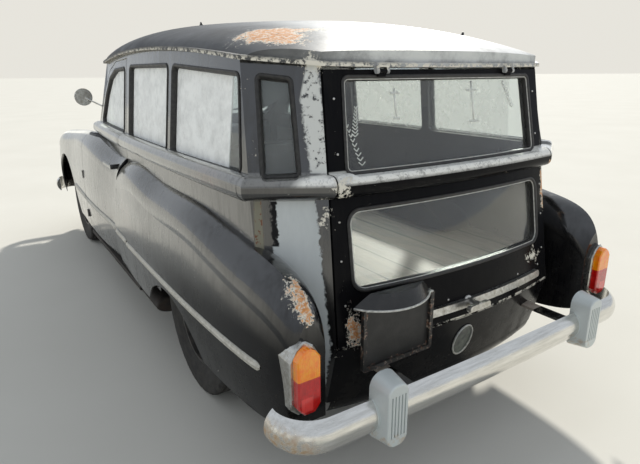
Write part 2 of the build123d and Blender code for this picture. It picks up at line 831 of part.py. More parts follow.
def bumper_bar(end_y):
    """A wrapped bumper bar at the rear, its outer face half round."""
    outer_x = bumper_half_width
    corner = 120
    middle = bumper_face_y
    side = middle - 22
    with BuildPart() as bar:
        with BuildLine() as path:
            Line((outer_x - bumper_deep, end_y, bumper_height), (outer_x - bumper_deep, side - corner, bumper_height))
            ThreePointArc(
                (outer_x - bumper_deep, side - corner, bumper_height),
                (outer_x - bumper_deep - corner * 0.3, side - corner * 0.42, bumper_height),
                (outer_x - bumper_deep - corner, side - bumper_deep + 12, bumper_height),
            )
            ThreePointArc(
                (outer_x - bumper_deep - corner, side - bumper_deep + 12, bumper_height),
                (0, middle - bumper_deep, bumper_height),
                (corner + bumper_deep - outer_x, side - bumper_deep + 12, bumper_height),
            )
            ThreePointArc(
                (corner + bumper_deep - outer_x, side - bumper_deep + 12, bumper_height),
                (bumper_deep + corner * 0.3 - outer_x, side - corner * 0.42, bumper_height),
                (bumper_deep - outer_x, side - corner, bumper_height),
            )
            Line((bumper_deep - outer_x, side - corner, bumper_height), (bumper_deep - outer_x, end_y, bumper_height))
        with BuildSketch(Plane(origin=path.line @ 0, x_dir=(1, 0, 0), z_dir=(0, 1, 0))):
            with BuildLine():
                ThreePointArc((0, -bumper_tall / 2), (bumper_deep, 0), (0, bumper_tall / 2))
                Line((0, bumper_tall / 2), (0, -bumper_tall / 2))
            make_face()
        sweep(transition=Transition.RIGHT)
    return bar.part


def overrider(across, middle_height, tall):
    """A rear overrider: a shield that narrows outwards, its face cut by upright grooves."""
    with BuildPart() as shield:
        with BuildSketch(Plane.XZ.offset(overrider_deep - bumper_half_length)):
            with Locations((across, middle_height)):
                RectangleRounded(overrider_wide, tall, overrider_wide * 0.44)
        extrude(amount=-overrider_deep, taper=overrider_taper)
        fillet(shield.faces().sort_by(Axis.Y)[-1].edges(), 6)
        with BuildSketch(Plane.XZ.offset(4 - bumper_half_length)):
            with Locations((across, middle_height)):
                with GridLocations(groove_pitch, 0, grooves, 1):
                    SlotOverall(tall - 90, 5, rotation=90)
        extrude(amount=-10, mode=Mode.SUBTRACT)
    return shield.part


rear_bar = bumper_bar(bumper_end_y)
with BuildPart() as rear_bumper:
    add(rear_bar)
    for side in (-1, 1):
        add(overrider(side * overrider_x, 418, 226))
        bracket_low = (side * bracket_x - bracket_wide / 2, 1840, bracket_height - bracket_thick / 2)
        bracket_high = (side * bracket_x + bracket_wide / 2, bumper_back_y, bracket_height + bracket_thick / 2)
        add(box_between(bracket_low, bracket_high))
    add(towing_eye(bracket_x, 2090, bracket_height))
save(rear_bumper.part, "rear_bumper")

front_bar = mirror(bumper_bar(front_bumper_end_y), about=Plane.XZ)
with BuildPart() as front_bumper:
    add(front_bar)
    for side in (-1, 1):
        add(mirror(overrider(side * front_overrider_x, bumper_height, 196), about=Plane.XZ))
        bracket_low = (side * front_bracket_x - 20, -bumper_back_y, front_bracket_height)
        bracket_high = (side * front_bracket_x + 20, -2000, front_bracket_height + bracket_thick)
        add(box_between(bracket_low, bracket_high))
    add(towing_eye(front_bracket_x, -2072, front_bracket_height + bracket_thick / 2))
save(front_bumper.part, "front_bumper")

# Lamps
headlamp_x = 648
headlamp_height = 676
headlamp_radius = 88
headlamp_root = 2090
rim_deep = 22
rim_wide = 20
with BuildPart() as headlamp:
    with BuildSketch(Plane.XZ.offset(headlamp_root)):
        with Locations((headlamp_x, headlamp_height)):
            Circle(headlamp_radius)
    extrude(amount=rim_deep)
    chamfer(headlamp.faces().sort_by(Axis.Y)[0].edges(), rim_deep * 0.4)
    with BuildSketch(Plane.XZ.offset(headlamp_root + rim_deep - 3)):
        with Locations((headlamp_x, headlamp_height)):
            Circle(headlamp_radius - rim_wide)
    extrude(amount=16)
    fillet(headlamp.faces().sort_by(Axis.Y)[0].edges(), 11)
save(Compound(children=[headlamp.part, mirror(headlamp.part, about=Plane.YZ)]), "headlamps")

lamp_x = 726
lamp_bottom = 440
lamp_tall = 222
lamp_wide = 96
housing_root_y = fender_end_y - 50
housing_end_y = fender_end_y + 16
lens_deep = 26
lamp_foot = 24


def lamp_outline(plane_y, inset, crown):
    """The left tail lamp seen from behind: chamfered foot, straight sides and an arched top."""
    reach = lamp_wide / 2 - inset
    low = lamp_bottom + inset
    high = lamp_bottom + lamp_tall - inset
    half = (
        (reach * 0.45, low), (reach, low + lamp_foot), (reach, high - crown), (reach * 0.60, high - crown * 0.34),
        (reach * 0.10, high),
    )
    left = [(lamp_x - across, up) for across, up in reversed(half)]
    right = [(lamp_x + across, up) for across, up in half]
    with BuildSketch(Plane.XZ.offset(-plane_y)) as outline:
        Polygon(*right, *left, align=None)
        fillet(outline.vertices(), 5)
    return outline.sketch


with BuildPart() as lamp_housing:
    extrude(lamp_outline(housing_root_y, 0, 52), amount=housing_root_y - housing_end_y)
    chamfer(lamp_housing.faces().sort_by(Axis.Y)[-1].edges(), 4)
    add(haunch_form(-lamp_gap), mode=Mode.SUBTRACT)
save(Compound(children=[lamp_housing.part, mirror(lamp_housing.part, about=Plane.YZ)]), "tail_lamp_housings")
with BuildPart() as lamp_lens:
    extrude(lamp_outline(housing_end_y, 11, 30), amount=-lens_deep)
    chamfer(lamp_lens.faces().sort_by(Axis.Y)[-1].edges(), 4)
save(Compound(children=[lamp_lens.part, mirror(lamp_lens.part, about=Plane.YZ)]), "tail_lamp_lenses")

# Seat, dashboard and steering wheel
with BuildPart() as front_seat:
    for side in (-1, 1):
        with BuildSketch(Plane.YZ.offset(330 * side - 240)):
            Polygon(
                (-140, floor_top), (250, floor_top), (330, 560), (410, 960), (300, 985), (215, 620), (200, 585),
                (-170, 590), (-190, 480), align=None,
            )
        extrude(amount=480)
    with Locations((0, 60, 520)):
        Box(200, 380, 90)
    fillet(front_seat.edges().filter_by(Axis.X).group_by(Axis.Z)[-1], 30)
save(front_seat.part, "front_seat")

column_x = 340
wheel_plane = Plane(origin=(column_x, -262, 905), x_dir=(1, 0, 0), z_dir=(0, cos(radians(28)), sin(radians(28))))
with BuildPart() as dashboard:
    add(box_between((-640, -700, 745), (640, -606, 985)) & cabin_inner)
    add(box_between((-585, -606, 745), (585, -520, 985)))
    fillet(dashboard.faces().sort_by(Axis.Y)[-1].edges().filter_by(Axis.X), 30)
    with BuildSketch(Plane.XZ.offset(505)):
        with Locations((0, 880)):
            RectangleRounded(250, 120, 30)
        for across in (-58, 58):
            with Locations((across, 880)):
                Circle(44, mode=Mode.SUBTRACT)
    extrude(amount=20)
    with BuildSketch(wheel_plane.offset(-330)):
        Circle(26)
    extrude(amount=312)
save(dashboard.part, "dashboard")

wheel_rim = 200
with BuildPart() as steering_wheel:
    with Locations(wheel_plane.offset(-4)):
        Torus(wheel_rim - 11, 11)
    with BuildSketch(wheel_plane.offset(-12)):
        with PolarLocations(wheel_rim / 2 - 6, 3, start_angle=90):
            Rectangle(wheel_rim - 12, 20)
    extrude(amount=9)
    with BuildSketch(wheel_plane.offset(-15)):
        Circle(38)
    extrude(amount=24)
    with BuildSketch(wheel_plane.offset(-17.7)):
        Circle(20)
    extrude(amount=5)
save(steering_wheel.part, "steering_wheel")

# Engine as one block, on the front axle member
member_top = floor_bottom
with BuildPart() as engine_block:
    with Locations((0, -1420, member_top + 200)):
        Box(300, 760, 400)
    chamfer(engine_block.faces().sort_by(Axis.Z)[-1].edges(), 60)
    with Locations((0, -925, member_top + 120)):
        Box(220, 240, 200)
save(engine_block.part, "engine_block")

# Front axle: the cross member and its arms, with the knuckles' pins in their eyes
kingpin_x = 570
kingpin_radius = 13
with BuildPart() as front_axle:
    with Locations((0, front_axle_y, (member_top + lower_arm) / 2)):
        Box(770, 110, member_top - lower_arm)
    for side in (-1, 1):
        for height in (lower_arm, upper_arm):
            with BuildSketch(Plane.XY.offset(height)):
                with BuildLine():
                    Polyline(
                        (side * 300, front_axle_y - 110), (side * kingpin_x, front_axle_y - 26),
                        (side * kingpin_x, front_axle_y + 26), (side * 300, front_axle_y + 110),
                        (side * 300, front_axle_y - 110),
                    )
                make_face()
                with Locations((side * kingpin_x, front_axle_y)):
                    Circle(26)
                    Circle(kingpin_radius + pin_clearance, mode=Mode.SUBTRACT)
            extrude(amount=arm_thick)
        with Locations((side * 322, front_axle_y, (lower_arm + upper_arm + arm_thick) / 2)):
            Box(44, 110, upper_arm + arm_thick - lower_arm)
    add(engine_block.part, mode=Mode.SUBTRACT)
save(front_axle.part, "front_axle")

stub_radius = 17
hub_inner_x = half_track - 34
hub_outer_x = half_track + 46
with BuildPart() as knuckle:
    with BuildSketch(Plane.XY.offset(lower_arm)):
        with Locations((kingpin_x, front_axle_y)):
            Circle(kingpin_radius)
    extrude(amount=upper_arm + arm_thick - lower_arm)
    with BuildSketch(Plane.XY.offset(lower_arm + arm_thick + pin_clearance)):
        with Locations((kingpin_x, front_axle_y)):
            Circle(24)
    extrude(amount=upper_arm - lower_arm - arm_thick - 2 * pin_clearance)
    with BuildSketch(Plane.YZ.offset(kingpin_x)):
        with Locations((front_axle_y, tyre_radius)):
            Circle(stub_radius)
    extrude(amount=hub_outer_x - kingpin_x - 10)
    with BuildSketch(Plane.YZ.offset(kingpin_x)):
        with Locations((front_axle_y, tyre_radius)):
            Circle(32)
    extrude(amount=hub_inner_x - pin_clearance - kingpin_x)
save(knuckle.part, "knuckle_left")
save(mirror(knuckle.part, about=Plane.YZ), "knuckle_right")

# Rear axle with its leaf springs and the propeller shaft
axle_tube = 34
spring_x = 400
spring_wide = 52
spring_thick = 24
spring_reach = 490
spring_seat = tyre_radius - axle_tube - spring_thick
eye_height = 372
with BuildPart() as rear_axle:
    with BuildSketch(Plane.YZ.offset(0.0)):
        with Locations((rear_axle_y, tyre_radius)):
            Circle(axle_tube)
    extrude(amount=hub_inner_x - pin_clearance, both=True)
    with BuildSketch(Plane.YZ.offset(0.0)):
        with Locations((rear_axle_y, tyre_radius)):
            Circle(stub_radius)
    extrude(amount=hub_outer_x - 10, both=True)
    with Locations((0, rear_axle_y, tyre_radius)):
        Sphere(112)
    for side in (-1, 1):
        with BuildSketch(Plane.YZ.offset(side * spring_x - spring_wide / 2)):
            with BuildLine():
                low = (
                    (rear_axle_y - spring_reach, eye_height), (rear_axle_y, spring_seat),
                    (rear_axle_y + spring_reach, eye_height),
                )
                high = [(along, height + spring_thick) for along, height in low]
                ThreePointArc(*low)
                Line(low[2], high[2])
                ThreePointArc(*high)
                Line(high[0], low[0])
            make_face()
        extrude(amount=spring_wide)
        with Locations((side * spring_x, rear_axle_y, tyre_radius)):
            Box(spring_wide + 16, 90, 2 * axle_tube)
        for along in (-1, 1):
            reach = rear_axle_y + along * (spring_reach - 12)
            bracket_top = rear_floor_bottom - 100
            with Locations((side * spring_x, reach, (eye_height + bracket_top) / 2)):
                Box(spring_wide, 30, bracket_top - eye_height)
    with BuildSketch(Plane.XZ.offset(-rear_axle_y)):
        with Locations((0, tyre_radius - 72)):
            Circle(28)
    extrude(amount=1950)
save(rear_axle.part, "rear_axle")

# Exhaust, which runs to the left sill, through its silencer and back under the axle
pipe_radius = 20
pipe_height = floor_bottom - pipe_radius - 22
pipe_side_x = 640
pipe_tail_x = 300
silencer_x = 694
silencer_start_y = 450
silencer_length = 330
with BuildPart() as exhaust:
    with BuildLine() as pipe_route:
        FilletPolyline(
            (190, -1150, pipe_height), (190, -1000, pipe_height), (pipe_side_x, -300, pipe_height),
            (pipe_side_x, 560, pipe_height), (pipe_tail_x, 820, pipe_height), (pipe_tail_x, 2060, pipe_height),
            radius=110,
        )
    with BuildSketch(Plane(origin=pipe_route.line @ 0, z_dir=pipe_route.line % 0)):
        Circle(pipe_radius)
    sweep()
    with BuildSketch(Plane.XZ.offset(-silencer_start_y)):
        with Locations((silencer_x, pipe_height)):
            Ellipse(76, 40)
    extrude(amount=-silencer_length)
    fillet(exhaust.faces().filter_by(Plane.XZ).group_by(SortBy.AREA)[-1].edges(), 10)
    for across, station, top in ((pipe_side_x, 0, floor_bottom), (pipe_tail_x, 1700, rear_floor_bottom)):
        with Locations((across, station, (pipe_height + top) / 2)):
            Box(20, 30, top - pipe_height)
save(exhaust.part, "exhaust")

# Round mirror on the left screen pillar
mirror_radius = 54
with BuildPart() as round_mirror:
    with BuildSketch(Plane.XZ.offset(556)):
        with Locations((752, 1218)):
            Circle(mirror_radius)
    extrude(amount=20)
    fillet(round_mirror.faces().sort_by(Axis.Y)[0].edges(), 14)
    with BuildLine() as arm_route:
        Line((640, -470, 1150), (752, -566, 1218))
    with BuildSketch(Plane(origin=arm_route.line @ 0, z_dir=arm_route.line % 0)):
        Circle(5)
    sweep()
    add(cabin_outer, mode=Mode.SUBTRACT)
save(round_mirror.part, "round_mirror")

# Wheels: tyre and pressed disc, the same at the four corners
vents = 12
vent_circle = 131
vent_radius = 11
with BuildPart() as tyre:
    with BuildSketch(Plane.XZ) as tyre_section:
        with BuildLine():
            half = tyre_width / 2
            tread = half * 0.74
            Line((-tread, tyre_radius), (tread, tyre_radius))
            ThreePointArc((tread, tyre_radius), (half - 8, tyre_radius - 16), (half, tyre_radius - 62))
            ThreePointArc((half, tyre_radius - 62), (half - 5, rim_radius + 30), (half * 0.74, rim_radius))
            Line((half * 0.74, rim_radius), (-half * 0.74, rim_radius))
            ThreePointArc((-half * 0.74, rim_radius), (5 - half, rim_radius + 30), (-half, tyre_radius - 62))
            ThreePointArc((-half, tyre_radius - 62), (8 - half, tyre_radius - 16), (-tread, tyre_radius))
        make_face()
    revolve(axis=Axis.X)
with BuildPart() as wheel_disc:
    with BuildSketch(Plane.XZ):
        with BuildLine():
            Polyline(
                (-61, rim_radius), (-61, rim_radius - 12), (-20, rim_radius - 26), (10, 150), (2, 110), (8, 72),
                (-34, 56), (-34, stub_radius + pin_clearance), (46, stub_radius + pin_clearance), (46, 56),
                (34, 76), (14, 86), (12, 112), (22, 152), (0, rim_radius - 18), (30, rim_radius - 16),
                (61, rim_radius - 12), (61, rim_radius), (-61, rim_radius),
            )
        make_face()
    revolve(axis=Axis.X)
    with BuildSketch(Plane.YZ):
        with PolarLocations(vent_circle, vents):
            Circle(vent_radius)
    extrude(amount=60, both=True, mode=Mode.SUBTRACT)
for end, axle_y in (("front", front_axle_y), ("rear", rear_axle_y)):
    for side_name, side in (("left", 1), ("right", -1)):
        place = Pos(side * half_track, axle_y, tyre_radius)
        for piece, name in ((tyre.part, "tyre"), (wheel_disc.part, "wheel")):
            sided = piece if side > 0 else mirror(piece, about=Plane.YZ)
            save(place * sided, f"{name}_{end}_{side_name}")
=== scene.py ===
import bpy
import json
from math import asin, cos, pi, radians, sin
from mathutils import Matrix, Vector
from mathutils.bvhtree import BVHTree


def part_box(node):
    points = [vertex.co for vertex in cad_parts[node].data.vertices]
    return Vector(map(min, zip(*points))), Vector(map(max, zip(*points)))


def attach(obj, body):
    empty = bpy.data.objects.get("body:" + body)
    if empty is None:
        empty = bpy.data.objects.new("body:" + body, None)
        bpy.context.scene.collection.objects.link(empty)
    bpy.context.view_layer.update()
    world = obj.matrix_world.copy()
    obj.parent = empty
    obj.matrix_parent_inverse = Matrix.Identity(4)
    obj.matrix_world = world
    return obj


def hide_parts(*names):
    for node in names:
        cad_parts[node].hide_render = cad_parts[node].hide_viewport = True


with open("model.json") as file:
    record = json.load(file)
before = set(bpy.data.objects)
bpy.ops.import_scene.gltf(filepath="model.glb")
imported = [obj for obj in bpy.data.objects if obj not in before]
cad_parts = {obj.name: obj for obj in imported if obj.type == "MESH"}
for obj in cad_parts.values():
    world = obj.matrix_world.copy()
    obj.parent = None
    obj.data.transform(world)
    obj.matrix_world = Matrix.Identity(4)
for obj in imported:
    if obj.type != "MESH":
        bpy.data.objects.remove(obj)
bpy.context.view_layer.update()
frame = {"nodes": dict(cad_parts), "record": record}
nodes = frame["nodes"]

# Camera, as the photograph was taken: behind the car's left corner
camera_place = Vector((1.364, 3.145, 1.35))
camera_yaw = radians(33.31)
camera_pitch = radians(17.12)
camera_roll = radians(-0.43)
camera_lens = 28.87

# Light
sun_direction = Vector((-0.64, -0.58, 0.51)).normalized()
sun_strength = 4.6
sun_angle = radians(3.0)
sun_colour = (1.0, 0.97, 0.9)
sky_strength = 0.7
sky_colour = (0.86, 0.92, 1.0)
backdrop_colour = (0.8, 0.78, 0.72)
floor_half = 400.0

# Places on the car that the pieces and finishes share, in metres
rail_peak_y = 0.6
rail_peak_height = 1.455
rail_fall = 0.05
belt_low = 0.992
belt_high = 1.064
headlamp_across = 0.648
headlamp_up = 0.676
headlamp_lens = 0.066
plate_lamp_edge = 0.679

# Where the rays start that look for a panel, and how far in a hit no longer is the outer panel
behind_car = 2.4
beside_car = 1.3
above_car = 2.0
before_screen = -1.6
inside_car = 0.6


def place_camera():
    """The camera looks forward and down, and turned a little about its own line of sight."""
    lens = bpy.data.cameras.new("camera")
    lens.lens = camera_lens
    lens.clip_start = 0.05
    camera = bpy.data.objects.new("camera", lens)
    camera.matrix_world = (
        Matrix.Translation(camera_place) @ Matrix.Rotation(pi - camera_yaw, 4, "Z")
        @ Matrix.Rotation(pi / 2 - camera_pitch, 4, "X") @ Matrix.Rotation(camera_roll, 4, "Z")
    )
    bpy.context.scene.collection.objects.link(camera)
    bpy.context.scene.camera = camera


class Finish:
    """A material made of nodes, with short calls for the few kinds that the finishes use."""

    def __init__(self, name, colour):
        self.colour = colour
        self.material = bpy.data.materials.new(name)
        self.material.use_nodes = True
        self.tree = self.material.node_tree
        self.tree.nodes.clear()
        self.output = self.tree.nodes.new("ShaderNodeOutputMaterial")
        places = self.node("ShaderNodeTexCoord").outputs
        self.place = places["Object"]
        self.x, self.y, self.z = self.node("ShaderNodeSeparateXYZ", {0: self.place}).outputs
        self.facing_up = self.node("ShaderNodeSeparateXYZ", {0: places["Normal"]}).outputs[2]

    def node(self, kind, inputs=None, **settings):
        """A node with its inputs set or linked. Colours are given as red, green and blue."""
        made = self.tree.nodes.new(kind)
        for key, value in settings.items():
            setattr(made, key, value)
        for key, value in (inputs or {}).items():
            socket = made.inputs[key]
            if isinstance(value, bpy.types.NodeSocket):
                self.tree.links.new(value, socket)
            else:
                socket.default_value = (*value, 1.0) if socket.type == "RGBA" else value
        return made

    def math(self, operation, first, second=0.0):
        return self.node("ShaderNodeMath", {0: first, 1: second}, operation=operation).outputs[0]

    def vector_math(self, operation, first, second=(0.0, 0.0, 0.0)):
        return self.node("ShaderNodeVectorMath", {0: first, 1: second}, operation=operation).outputs

    def scaled(self, value, share):
        return self.math("MULTIPLY", value, share)

    def without(self, mask):
        return self.math("SUBTRACT", 1.0, mask)

    def aside(self):
        """How far a place lies from the car's middle."""
        return self.math("ABSOLUTE", self.x)

    def noise(self, scale, detail=4.0, rough=0.55, stretch=None):
        place = self.place
        if stretch:
            place = self.node("ShaderNodeMapping", {0: place, "Scale": stretch}).outputs[0]
        inputs = {"Vector": place, "Scale": scale, "Detail": detail, "Roughness": rough}
        return self.node("ShaderNodeTexNoise", inputs).outputs[0]

    def patches(self, scale, detail, rough, low, high, stretch=None):
        """Noise cut between two levels."""
        return self.step(self.noise(scale, detail, rough, stretch), low, high)

    def waves(self, scale, warp=0.0):
        inputs = {"Vector": self.place, "Scale": scale, "Distortion": warp}
        return self.node("ShaderNodeTexWave", inputs, bands_direction="X").outputs[1]

    def step(self, value, low, high, start=0.0, end=1.0):
        inputs = {0: value, 1: low, 2: high, 3: start, 4: end}
        return self.node("ShaderNodeMapRange", inputs, clamp=True).outputs[0]

    def fall(self, value, low, high):
        return self.step(value, low, high, 1.0, 0.0)

    def within(self, value, low, low_end, high, high_end):
        """One between two places, rising over the first pair and falling over the second."""
        return self.both(self.step(value, low, low_end), self.fall(value, high, high_end))

    def mix(self, share, first, second):
        inputs = {0: share, 6: first, 7: second}
        return self.node("ShaderNodeMix", inputs, data_type="RGBA").outputs[2]

    def lay(self, colour, mask, share=1.0):
        """Lays a colour over the one so far, where a mask says."""
        self.colour = self.mix(self.scaled(mask, share), self.colour, colour)

    def blend(self, share, first, second):
        return self.node("ShaderNodeMix", {0: share, 2: first, 3: second}).outputs[0]

    def both(self, *masks):
        share = masks[0]
        for mask in masks[1:]:
            share = self.scaled(share, mask)
        return share

    def either(self, *masks):
        share = masks[0]
        for mask in masks[1:]:
            share = self.math("MAXIMUM", share, mask)
        return share

    def nearness(self, *spots):
        """One at the middle of a spot, falling to zero at the ellipsoid of its half sizes."""
        near = []
        for middle, reach in spots:
            off = self.vector_math("SUBTRACT", self.place, middle)[0]
            off = self.vector_math("DIVIDE", off, reach)[0]
            far = self.vector_math("LENGTH", off)["Value"]
            near.append(self.fall(far, 0.0, 1.0))
        return self.either(*near)

    def flakes(self, nearness, grain, level, pull, soft):
        """Flakes whose share rises with a nearness from zero to one."""
        value = self.math("ADD", grain, self.scaled(nearness, pull))
        return self.step(value, level - soft, level + soft)

    def bump(self, height, distance, strength=1.0, normal=None):
        inputs = {"Height": height, "Distance": distance, "Strength": strength}
        if normal is not None:
            inputs["Normal"] = normal
        return self.node("ShaderNodeBump", inputs).outputs[0]

    def surface(self, **inputs):
        """Ends the tree in one Principled shader, its inputs named with underscores."""
        named = {key.replace("_", " "): value for key, value in inputs.items()}
        shader = self.node("ShaderNodeBsdfPrincipled", {"Base Color": self.colour, **named})
        self.tree.links.new(shader.outputs[0], self.output.inputs["Surface"])
        return self.material


black = (0.005, 0.005, 0.006)
faded = (0.075, 0.07, 0.06)
dull_red = (0.26, 0.11, 0.08)
panel_pale = (0.62, 0.65, 0.65)
panel_grey = (0.5, 0.53, 0.53)
dust = (0.36, 0.32, 0.26)
sheen_dust = (0.95, 0.93, 0.84)
primer = (0.62, 0.58, 0.5)
cream = (0.78, 0.74, 0.64)
orange_rust = (0.52, 0.2, 0.06)
brown_rust = (0.16, 0.06, 0.03)
pale_rust = (0.72, 0.36, 0.15)
# grey of bleached roof paint, made light enough to stand in for the sun's glare too (painted highlight)
bleached_glare_grey = (0.52, 0.53, 0.53)
# light grey for the belt moulding's top: a painted reflection of the sky
glint_grey = (0.88, 0.87, 0.82)
# off white: the white pillar's paint, and also painted light on the roof's steep rear edge
off_white = (0.66, 0.67, 0.64)
seam_brown = (0.22, 0.21, 0.16)

# Places where the paint flakes to orange rust, to cream primer or to a dull red: middle, half sizes
rust_spots = (
    ((0.52, 1.6, 1.475), (0.19, 0.21, 0.11)),
    ((0.705, 2.03, 0.75), (0.052, 0.12, 0.085)),
    ((-0.53, 1.95, 0.93), (0.04, 0.08, 0.19)),
    ((0.48, 2.02, 0.6), (0.05, 0.08, 0.12)),
    ((0.52, 1.64, 1.44), (0.14, 0.2, 0.06)),
)
cream_spots = (
    ((0.33, 1.62, 1.495), (0.26, 0.06, 0.08)),
    ((0.7, 2.02, 0.78), (0.052, 0.12, 0.07)),
    ((0.52, 1.83, 1.375), (0.09, 0.08, 0.06)),
    ((0.5, 1.95, 1.03), (0.08, 0.06, 0.08)),
    ((0.54, 1.93, 0.95), (0.06, 0.08, 0.11)),
    ((-0.42, 2.0, 0.65), (0.12, 0.08, 0.07)),
    ((0.45, 1.99, 0.56), (0.09, 0.08, 0.08)),
    ((0.54, 1.9, 1.2), (0.03, 0.06, 0.26)),
)
red_spots = (
    ((0.09, 1.79, 1.455), (0.22, 0.12, 0.09)),
    ((0.77, 1.56, 1.03), (0.06, 0.16, 0.07)),
    ((0.815, 0.48, 0.7), (0.08, 0.08, 0.16)),
    ((0.815, 0.56, 0.66), (0.08, 0.12, 0.12)),
)


def weathered_black(name, extra, gloss, chalk, shine, coat=0.0, film=0.0):
    """Old black paint: chalky in places, flaked to primer and rust in known spots."""
    paint = Finish(name, black)
    fine = paint.noise(120.0, 6.0, 0.75)
    coarse = paint.noise(26.0, 6.0, 0.7)
    grain = paint.scaled(paint.math("ADD", fine, coarse), 0.5)
    streaks = paint.patches(46.0, 5.0, 0.7, 0.4, 0.72, (1.0, 1.0, 0.1))
    patchy = paint.both(paint.patches(2.6, 5.0, 0.6, 0.36, 0.7), streaks)
    paint.lay(faded, patchy, chalk)
    dirt = paint.both(paint.fall(paint.z, 0.28, 0.8), paint.patches(9.0, 7.0, 0.7, 0.46, 0.78))
    paint.lay(dust, dirt, 0.04)

    rust_colour = paint.mix(paint.step(fine, 0.42, 0.58), orange_rust, pale_rust)
    rust_colour = paint.mix(paint.patches(75.0, 6.0, 0.8, 0.52, 0.58), rust_colour, cream)
    rust_colour = paint.mix(paint.patches(48.0, 6.0, 0.8, 0.6, 0.64), rust_colour, brown_rust)
    rust_near = paint.nearness(*rust_spots)
    lumpy = paint.blend(0.42, paint.noise(15.0, 8.0, 0.62), fine)
    rust_rim = paint.flakes(rust_near, lumpy, 0.67, 0.42, 0.006)
    rust = paint.flakes(rust_near, lumpy, 0.71, 0.42, 0.01)
    chipped = paint.flakes(paint.nearness(*cream_spots), paint.blend(0.45, coarse, fine), 0.72, 0.32, 0.008)
    worn = paint.both(paint.nearness(*red_spots), paint.step(grain, 0.42, 0.62))
    paint.lay(dull_red, worn, 0.5)
    specks = paint.patches(170.0, 5.0, 0.75, 0.71, 0.73)
    paint.lay(primer, specks, 0.55)

    # the top of the belt moulding where it faces up, light grey as a painted reflection of the sky, full at
    # the rear, faint on the sides and none ahead of the windscreen's foot, and the chipped edge of the lower
    # rear panel
    belt_top_glint = paint.both(
        paint.step(paint.facing_up, 0.0, 0.3), paint.within(paint.z, 1.016, 1.03, 1.068, 1.072),
        paint.step(grain, 0.3, 0.5), paint.step(paint.y, 1.88, 1.9, 0.2, 1.0),
        paint.step(paint.y, -0.62, -0.6),
    )
    paint.lay(glint_grey, belt_top_glint, 0.95)
    lower_edge = paint.both(
        paint.within(paint.z, 0.518, 0.521, 0.529, 0.532), paint.step(paint.y, 1.86, 1.87),
        paint.step(coarse, 0.46, 0.5), paint.fall(paint.aside(), 0.535, 0.54),
    )
    bare = paint.either(rust_rim, chipped, lower_edge)
    paint.lay(cream, bare)
    paint.lay(rust_colour, rust)
    if extra:
        bare = paint.either(bare, extra(paint, bare))

    rough = paint.step(paint.noise(6.0, 6.0, 0.65), 0.3, 0.75, gloss, gloss + 0.2)
    rough = paint.blend(paint.either(bare, paint.scaled(dirt, 0.7)), rough, 0.78)
    dusty = paint.both(
        paint.step(paint.z, 0.58, 0.72), paint.step(paint.y, 1.5, 2.0, film, 0.0),
        paint.step(streaks, 0.0, 1.0, 0.6, 1.0),
    )
    clean = paint.both(paint.step(paint.y, 0.8, 1.4), paint.fall(paint.z, 0.62, 0.74))
    coated = paint.both(
        paint.without(bare), paint.step(clean, 0.0, 1.0, 1.0, 0.12),
        paint.step(patchy, 0.0, 1.0, coat, coat * 0.35),
    )
    relief = paint.bump(paint.noise(5.0, 2.0, 0.5), 0.01, 0.15)
    relief = paint.bump(paint.math("SUBTRACT", paint.scaled(fine, 0.25), bare), 0.0012, 0.8, relief)
    return paint.surface(
        Roughness=rough, Specular_IOR_Level=shine, Normal=relief, Coat_Weight=coated,
        Coat_IOR=1.85, Coat_Roughness=paint.step(streaks, 0.0, 1.0, gloss * 0.8, gloss + 0.16),
        Sheen_Weight=dusty, Sheen_Roughness=0.35, Sheen_Tint=sheen_dust,
    )


def roof_wear_and_glare(paint, bare):
    """Bleached paint over the roof's rear, made lighter as a painted highlight for the sun's glare, a painted
    light that whitens the steep rear edge in its shade, and bare cream along the drip rail, which falls with
    the roof.
    """
    mottle = paint.patches(7.0, 8.0, 0.72, 0.22, 0.55)
    # faded paint and painted highlight at once: the roof's rear lightened where the sun's glare falls
    bleached_and_glare = paint.both(
        paint.step(paint.y, 0.6, 1.62), paint.step(paint.x, 0.3, 0.56, 1.0, 0.12), mottle, paint.without(bare)
    )
    paint.lay(bleached_glare_grey, bleached_and_glare)
    # painted light: the steep rear edge of the roof, turned from the sun and in shade, is whitened to look as
    # bright as the glare above it
    steep_painted_light = paint.both(
        paint.fall(paint.facing_up, 0.55, 0.8), paint.step(paint.y, 1.7, 1.8), mottle,
        paint.step(paint.x, 0.3, 0.5, 1.0, 0.2), paint.step(paint.z, 1.385, 1.395),
    )
    paint.lay(off_white, steep_painted_light)
    along = paint.math("SUBTRACT", paint.y, rail_peak_y)
    drop = paint.scaled(paint.scaled(along, along), rail_fall)
    over = paint.math("ADD", paint.math("SUBTRACT", paint.z, rail_peak_height), drop)
    flaked = paint.both(
        paint.within(over, -0.016, -0.01, 0.002, 0.012), paint.patches(55.0, 7.0, 0.75, 0.47, 0.5)
    )
    paint.lay(cream, flaked)
    return flaked


